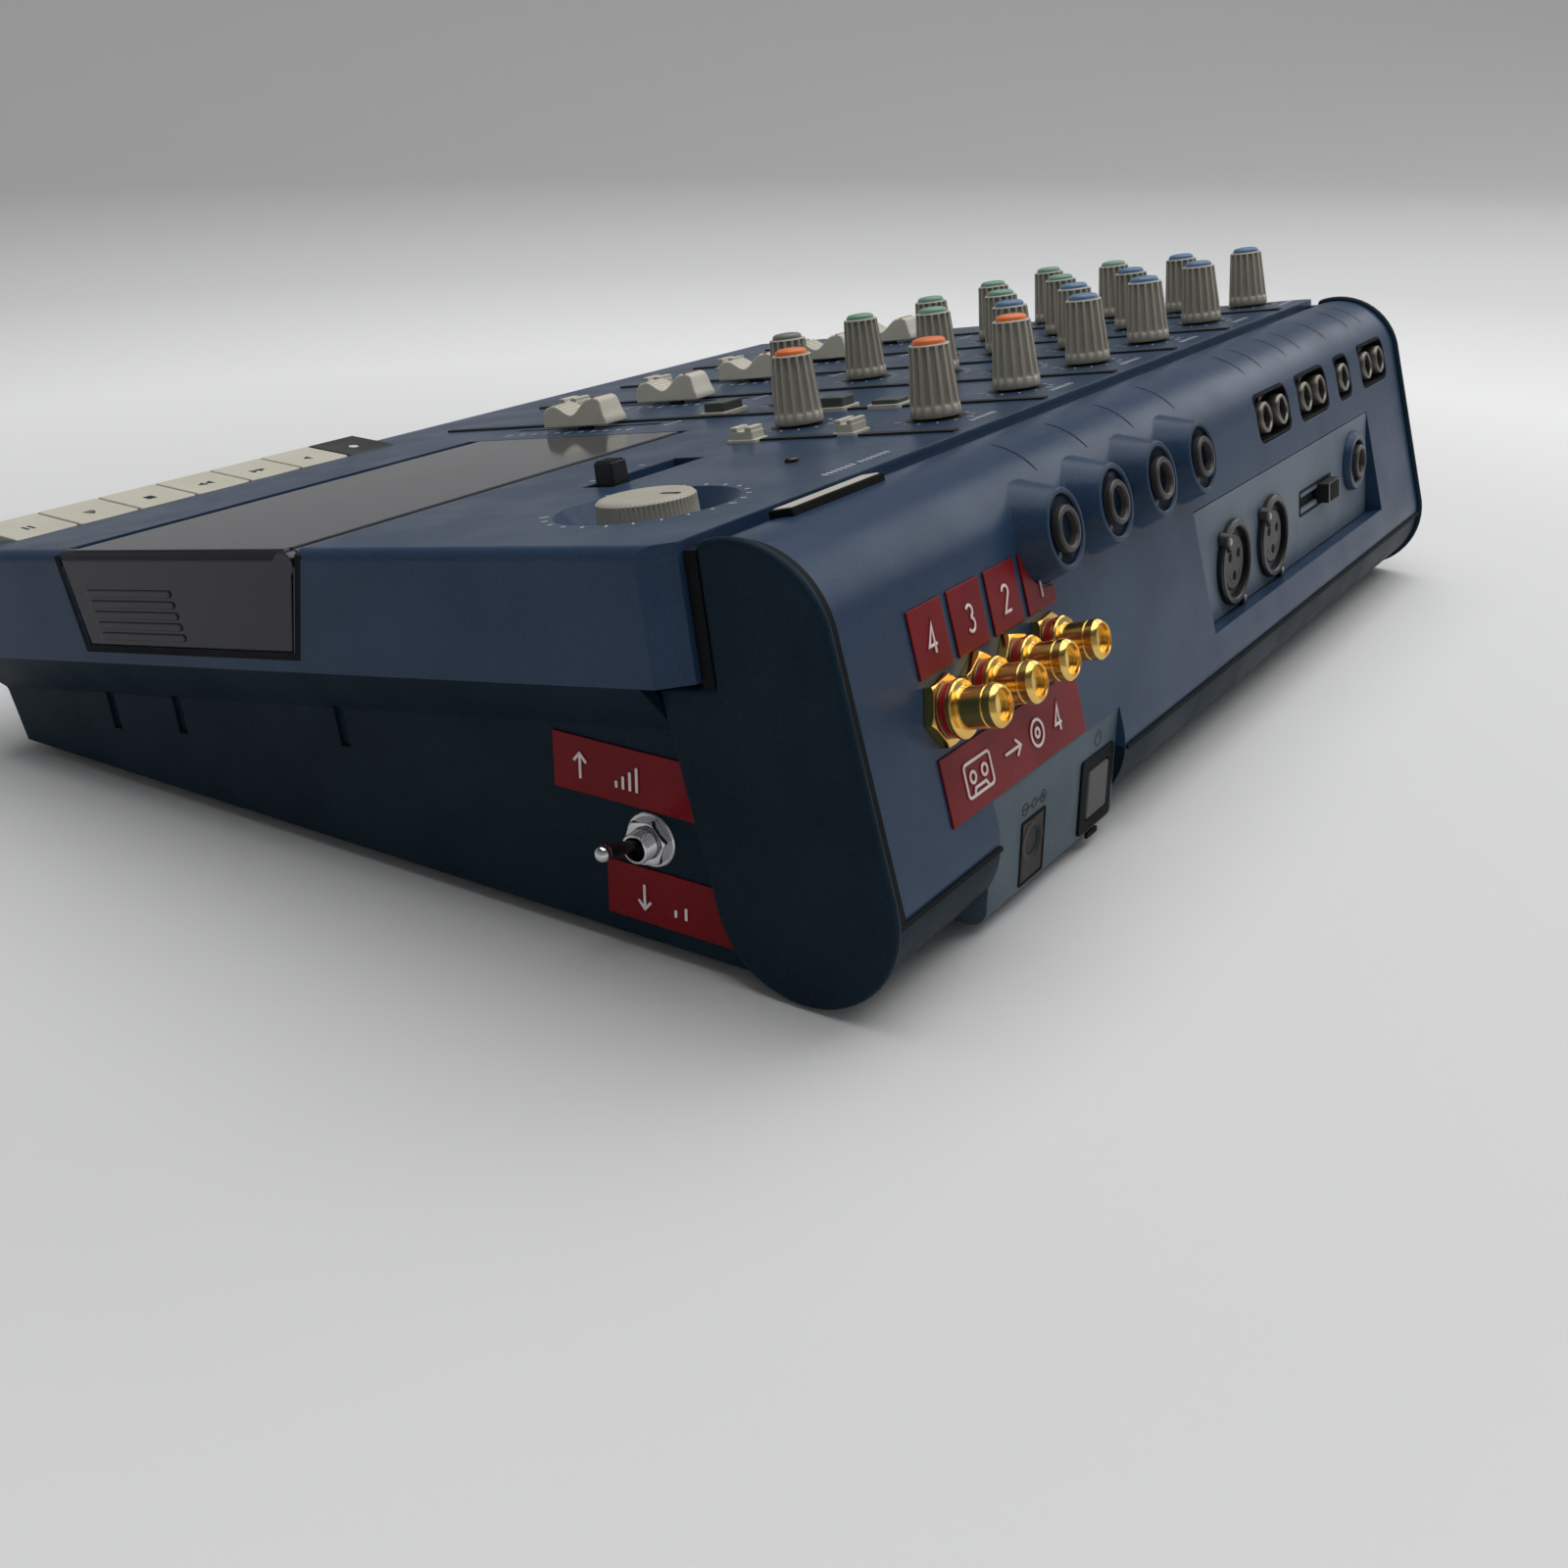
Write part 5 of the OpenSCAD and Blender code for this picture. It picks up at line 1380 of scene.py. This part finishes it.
bm = bmesh.new()
for kind, (d, cap) in rows.items():
    for x in column_x.values():
        knob_scale(bm, x, d)
for x, d in single_knobs.values():
    knob_scale(bm, x, d)
for x in fader_xs:
    for k in range(11):
        d = ladder_top - ladder_len * k / 10
        reach = 2.2 if k % 5 else 3.4
        for side in (-1, 1):
            start = x + side * 6.4
            ribbon(bm, [(start, d), (start + side * reach, d)], tick_w, -0.05, print_h)
knob_scale(bm, pitch_x, pitch_d, count=21, r=19.6)
for k in range(3):
    x = 96.0 + 9 * k
    ribbon(bm, [(x, -67.2), (x, -68.8)], tick_w, -0.05, print_h)
for x in fader_xs[1:]:
    ribbon(bm, [(x - 6, -169.5), (x + 6, -169.5)], tick_w, -0.05, print_h)
for x in list(column_x.values()) + [3, 46, 96, 110]:
    for k in range(7):
        ribbon(bm, [(x - 5.4 + 1.8 * k, -7.6), (x - 4.8 + 1.8 * k, -5.8)], 0.5, -0.05, print_h)
for x in fader_xs:
    for k in range(4):
        ribbon(bm, [(x - 3 + 2 * k, -108.6), (x - 2.6 + 2 * k, -107)], 0.5, -0.05, print_h)
piece("panel_print", bm, on_panel(), "legend_white")

bm = bmesh.new()
for x, d in [(x, d) for d, cap in rows.values() for x in column_x.values()] + list(single_knobs.values()):
    turned(bm, [(5.0, -0.05), (7.3, -0.05), (7.3, 0.05), (5.0, 0.05)], 48, move(x, d))
# Black strips between the channels: painted shade for the grooves.
for x in groove_shade_xs:
    rounded_box(bm, groove_shade_w, groove_shade_len, -0.7, groove_shade_h, 0.3, x=x, y=-99)
for d, long_side in ((-45, 22.5), (-15, 24.5)):
    rounded_box(bm, groove_shade_w, long_side, -0.7, groove_shade_h, 0.3, x=67, y=d)
piece("panel_groove_shade_and_rings", bm, on_panel(), "legend_dark_and_groove_shade")
print("ticks printed")

# %% [markdown]
# ## Lines on the hump
# Thin moulded lines run from the groove over the hump and stop above the sockets. Each is drawn as a dark strip
# of painted shade, the shade in its moulded groove. They follow the same arc as the hump itself, so each is a
# narrow strip bent over that arc. The seams where the rear panel meets the end cap and the lower case are dark
# strips of painted shade too, because a shadow gap there is narrower than the frame's.

# %% Hump lines
hump_r = 18.2
cap_len = 49.0
jack_line_off = 11.0
arc_y = case_d / 2 - 19.4 - cap_len * math.sin(rear_lean)
arc_z = 19.9 + cap_len * math.cos(rear_lean)


def on_arc(x, angle, proud):
    r = hump_r + proud
    return x, arc_y + r * math.cos(angle), arc_z + r * math.sin(angle)


def hump_line(bm, x, a0, a1, width=0.5, proud=0.03, steps=20):
    rows_made = []
    for k in range(steps + 1):
        angle = math.radians(a0 + (a1 - a0) * k / steps)
        half = width / 2 * min(1.0, 0.25 + min(k, steps - k) / 3)
        rows_made.append([bm.verts.new(on_arc(x + side * half, angle, proud)) for side in (-1, 1)])
    for a, b in zip(rows_made, rows_made[1:]):
        bm.faces.new((a[0], a[1], b[1], b[0]))


# Dark strips over the hump, along its crease and at its ends: painted shade.
bm = bmesh.new()
for i in range(4):
    hump_line(bm, jack_x - i * jack_pitch - jack_line_off, 88, 50)
for first, count in zip(phono_first, phono_count):
    hump_line(bm, first, 88, 52)
    if count == 2:
        hump_line(bm, first - phono_pitch, 88, 52)
crease = math.radians(113)
crease_w = 0.022
line = [bm.verts.new(on_arc(x, crease + step, 0.03)) for step in (0, crease_w) for x in (-171.5, 171.5)]
bm.faces.new((line[0], line[1], line[3], line[2]))
ends = [bm.verts.new(on_arc(x, math.radians(a), 0.03)) for a in range(16, 114, 4) for x in (169.6, 172.0)]
for k in range(0, len(ends) - 2, 2):
    bm.faces.new((ends[k], ends[k + 1], ends[k + 3], ends[k + 2]))
piece("hump_groove_shade", bm, row, "seam_shadow")

bm = bmesh.new()
rounded_box(bm, 2.4, 55.0, -0.3, 0.05, 0.1, x=-170.8, y=27.0)
for x0, x1 in ((-172, 70.2), (131.8, 172)):
    rounded_box(bm, x1 - x0, 0.9, -0.5, 0.06, 0.1, x=-(x0 + x1) / 2)
piece("rear_seam_shade", bm, on_rear(), "seam_shadow")
# Dark blocks in the gaps between the side skirts and the end caps: painted shade.
bm = bmesh.new()
for side in (-1, 1):
    rounded_box(bm, 4.0, 2.6, -32.0, -1.8, 0.2, x=side * 172.2, y=1.6)
piece("cap_gap_shade", bm, on_panel(), "seam_shadow")
print("hump lines", 4 + sum(phono_count))

# %% [markdown]
# A plain plate lies beside the groove: an off-white face on a black block.

# %% Blank plate
plate_at = on_panel(135.5, 4, -2.2) @ turn(math.radians(6), "X")
bm = bmesh.new()
rounded_box(bm, 33.4, 5.4, 0.2, 2.42, 0.5, y=2.5)
piece("blank_plate_side", bm, plate_at, "deep_black_and_hole_shade", bevel=0.2)
bm = bmesh.new()
rounded_box(bm, 31.8, 4.0, 2.3, 2.6, 0.4, y=2.5)
piece("blank_plate_face", bm, plate_at, "insulator", bevel=0.1)
print("blank plate made")

# %% [markdown]
# The lid lies in an opening with deep shadow gaps. Thin dark strips of painted shade line the opening on the
# right side, and a near black floor of painted shade lies in the finger gap in front of the lid.

# %% Gap liners of painted shade
lid_front, lid_rear = -163.5, -92.0
lid_skirt = 21.2
side_face = on_panel(case_w / 2) @ Matrix(((0, 0, 1), (1, 0, 0), (0, 1, 0))).to_4x4()
bm = bmesh.new()
gap_front, gap_rear = lid_front - 4.5 - 0.9, lid_rear + 0.9 + 0.9
ribbon(bm, [(gap_front, -1.0), (gap_front + 3.3, -lid_skirt - 0.9), (gap_rear - 6.5, -lid_skirt - 0.9),
            (gap_rear, -1.0)], 1.5, -0.3, 0.05)
piece("side_gap_shade", bm, side_face, "seam_shadow")
bm = bmesh.new()
gap_left, gap_right = 46.2, case_w / 2 - 2.6
rounded_box(bm, gap_right - gap_left, 4.0, -3.6, -2.9, 0.3, x=(gap_right + gap_left) / 2, y=lid_front - 2.35)
piece("finger_gap_shade", bm, on_panel(), "deep_black_and_hole_shade")
print("gaps lined")

# %% [markdown]
# ## Floor, backdrop and light
# The recorder stands on pale paper that sweeps up behind it. The paper's colour carries painted light: it is
# bright in a ring near the case and darker far off, standing in for how the lamp's light falls off. One broad
# soft lamp hangs above, a little to the far side, so the near wall of the case stays in shade as in the
# photograph. A weak world fills the rest.

# %% Paper sweep
paper_r = 1.7
sweep_r = 0.7
sweep_steps = 128
bm = bmesh.new()
sweep = [(0, 0), (0.25, 0), (0.6, 0), (1.1, 0), (paper_r, 0)]
sweep += [(paper_r + sweep_r * math.sin(math.radians(a)), sweep_r - sweep_r * math.cos(math.radians(a)))
          for a in range(10, 91, 10)]
sweep += [(paper_r + sweep_r, 1.8)]
turned(bm, sweep, sweep_steps)
top_ring = [f for f in bm.faces if len(f.verts) > 4]
bmesh.ops.delete(bm, geom=top_ring, context="FACES_ONLY")
bmesh.ops.recalc_face_normals(bm, faces=bm.faces)
bmesh.ops.reverse_faces(bm, faces=bm.faces)
mesh = bpy.data.meshes.new("paper")
bm.to_mesh(mesh)
bm.free()
mesh.shade_smooth()
paper = bpy.data.objects.new("paper", mesh)
bpy.context.scene.collection.objects.link(paper)

material = bpy.data.materials.new("paper")
material.use_nodes = True
tree = material.node_tree
shader = tree.nodes["Principled BSDF"]
place = tree.nodes.new("ShaderNodeTexCoord").outputs["Object"]
length = tree.nodes.new("ShaderNodeVectorMath")
length.operation = "LENGTH"
tree.links.new(place, length.inputs[0])
ramp = tree.nodes.new("ShaderNodeValToRGB")
reach = spread(tree, length.outputs["Value"], 0.0, 2.5)
reach.node.interpolation_type = "LINEAR"
tree.links.new(reach, ramp.inputs["Fac"])
# Painted light: a bright ring near the case and darker paper far off stand for the lamp's falloff.
painted_light_stops = [(0.0, 0.74), (0.12, 0.76), (0.2, 0.86), (0.34, 0.68), (0.5, 0.62), (1.0, 0.6)]
while len(ramp.color_ramp.elements) < len(painted_light_stops):
    ramp.color_ramp.elements.new(0.5)
for element, (where, value) in zip(ramp.color_ramp.elements, painted_light_stops):
    element.position = where
    element.color = (value, value, value, 1)
tree.links.new(ramp.outputs["Color"], shader.inputs["Base Color"])
shader.inputs["Roughness"].default_value = 0.8
shader.inputs["Specular IOR Level"].default_value = 0.2
mesh.materials.append(material)
print("paper sweep made")

# %% [markdown]
# Two area lamps do the lighting: a broad ceiling lamp for the soft top light, and a weak one at the far side
# that draws the bright line along the hump.

# %% Lamps
def area_lamp(name, place, target, size, watts):
    lamp = bpy.data.lights.new(name, "AREA")
    lamp.shape = "RECTANGLE"
    lamp.size, lamp.size_y = size
    lamp.energy = watts
    holder = bpy.data.objects.new(name, lamp)
    holder.location = place
    holder.rotation_mode = "QUATERNION"
    holder.rotation_quaternion = (Vector(target) - Vector(place)).to_track_quat("-Z", "Y")
    bpy.context.scene.collection.objects.link(holder)


ceiling_watts = 32.5
far_watts = 5
room_strength = 0.09
area_lamp("ceiling_lamp", (-0.35, 0.1, 1.7), (0, 0, 0), (2.2, 2.2), ceiling_watts)
area_lamp("far_lamp", (-1.5, 0.6, 0.9), (0, 0, 0.05), (1.2, 0.8), far_watts)
world = bpy.data.worlds.new("room")
world.use_nodes = True
world.node_tree.nodes["Background"].inputs["Color"].default_value = (0.9, 0.95, 1.0, 1)
world.node_tree.nodes["Background"].inputs["Strength"].default_value = room_strength
bpy.context.scene.world = world
bpy.context.scene.view_settings.view_transform = "Standard"
print("lamps", len(bpy.data.lights))
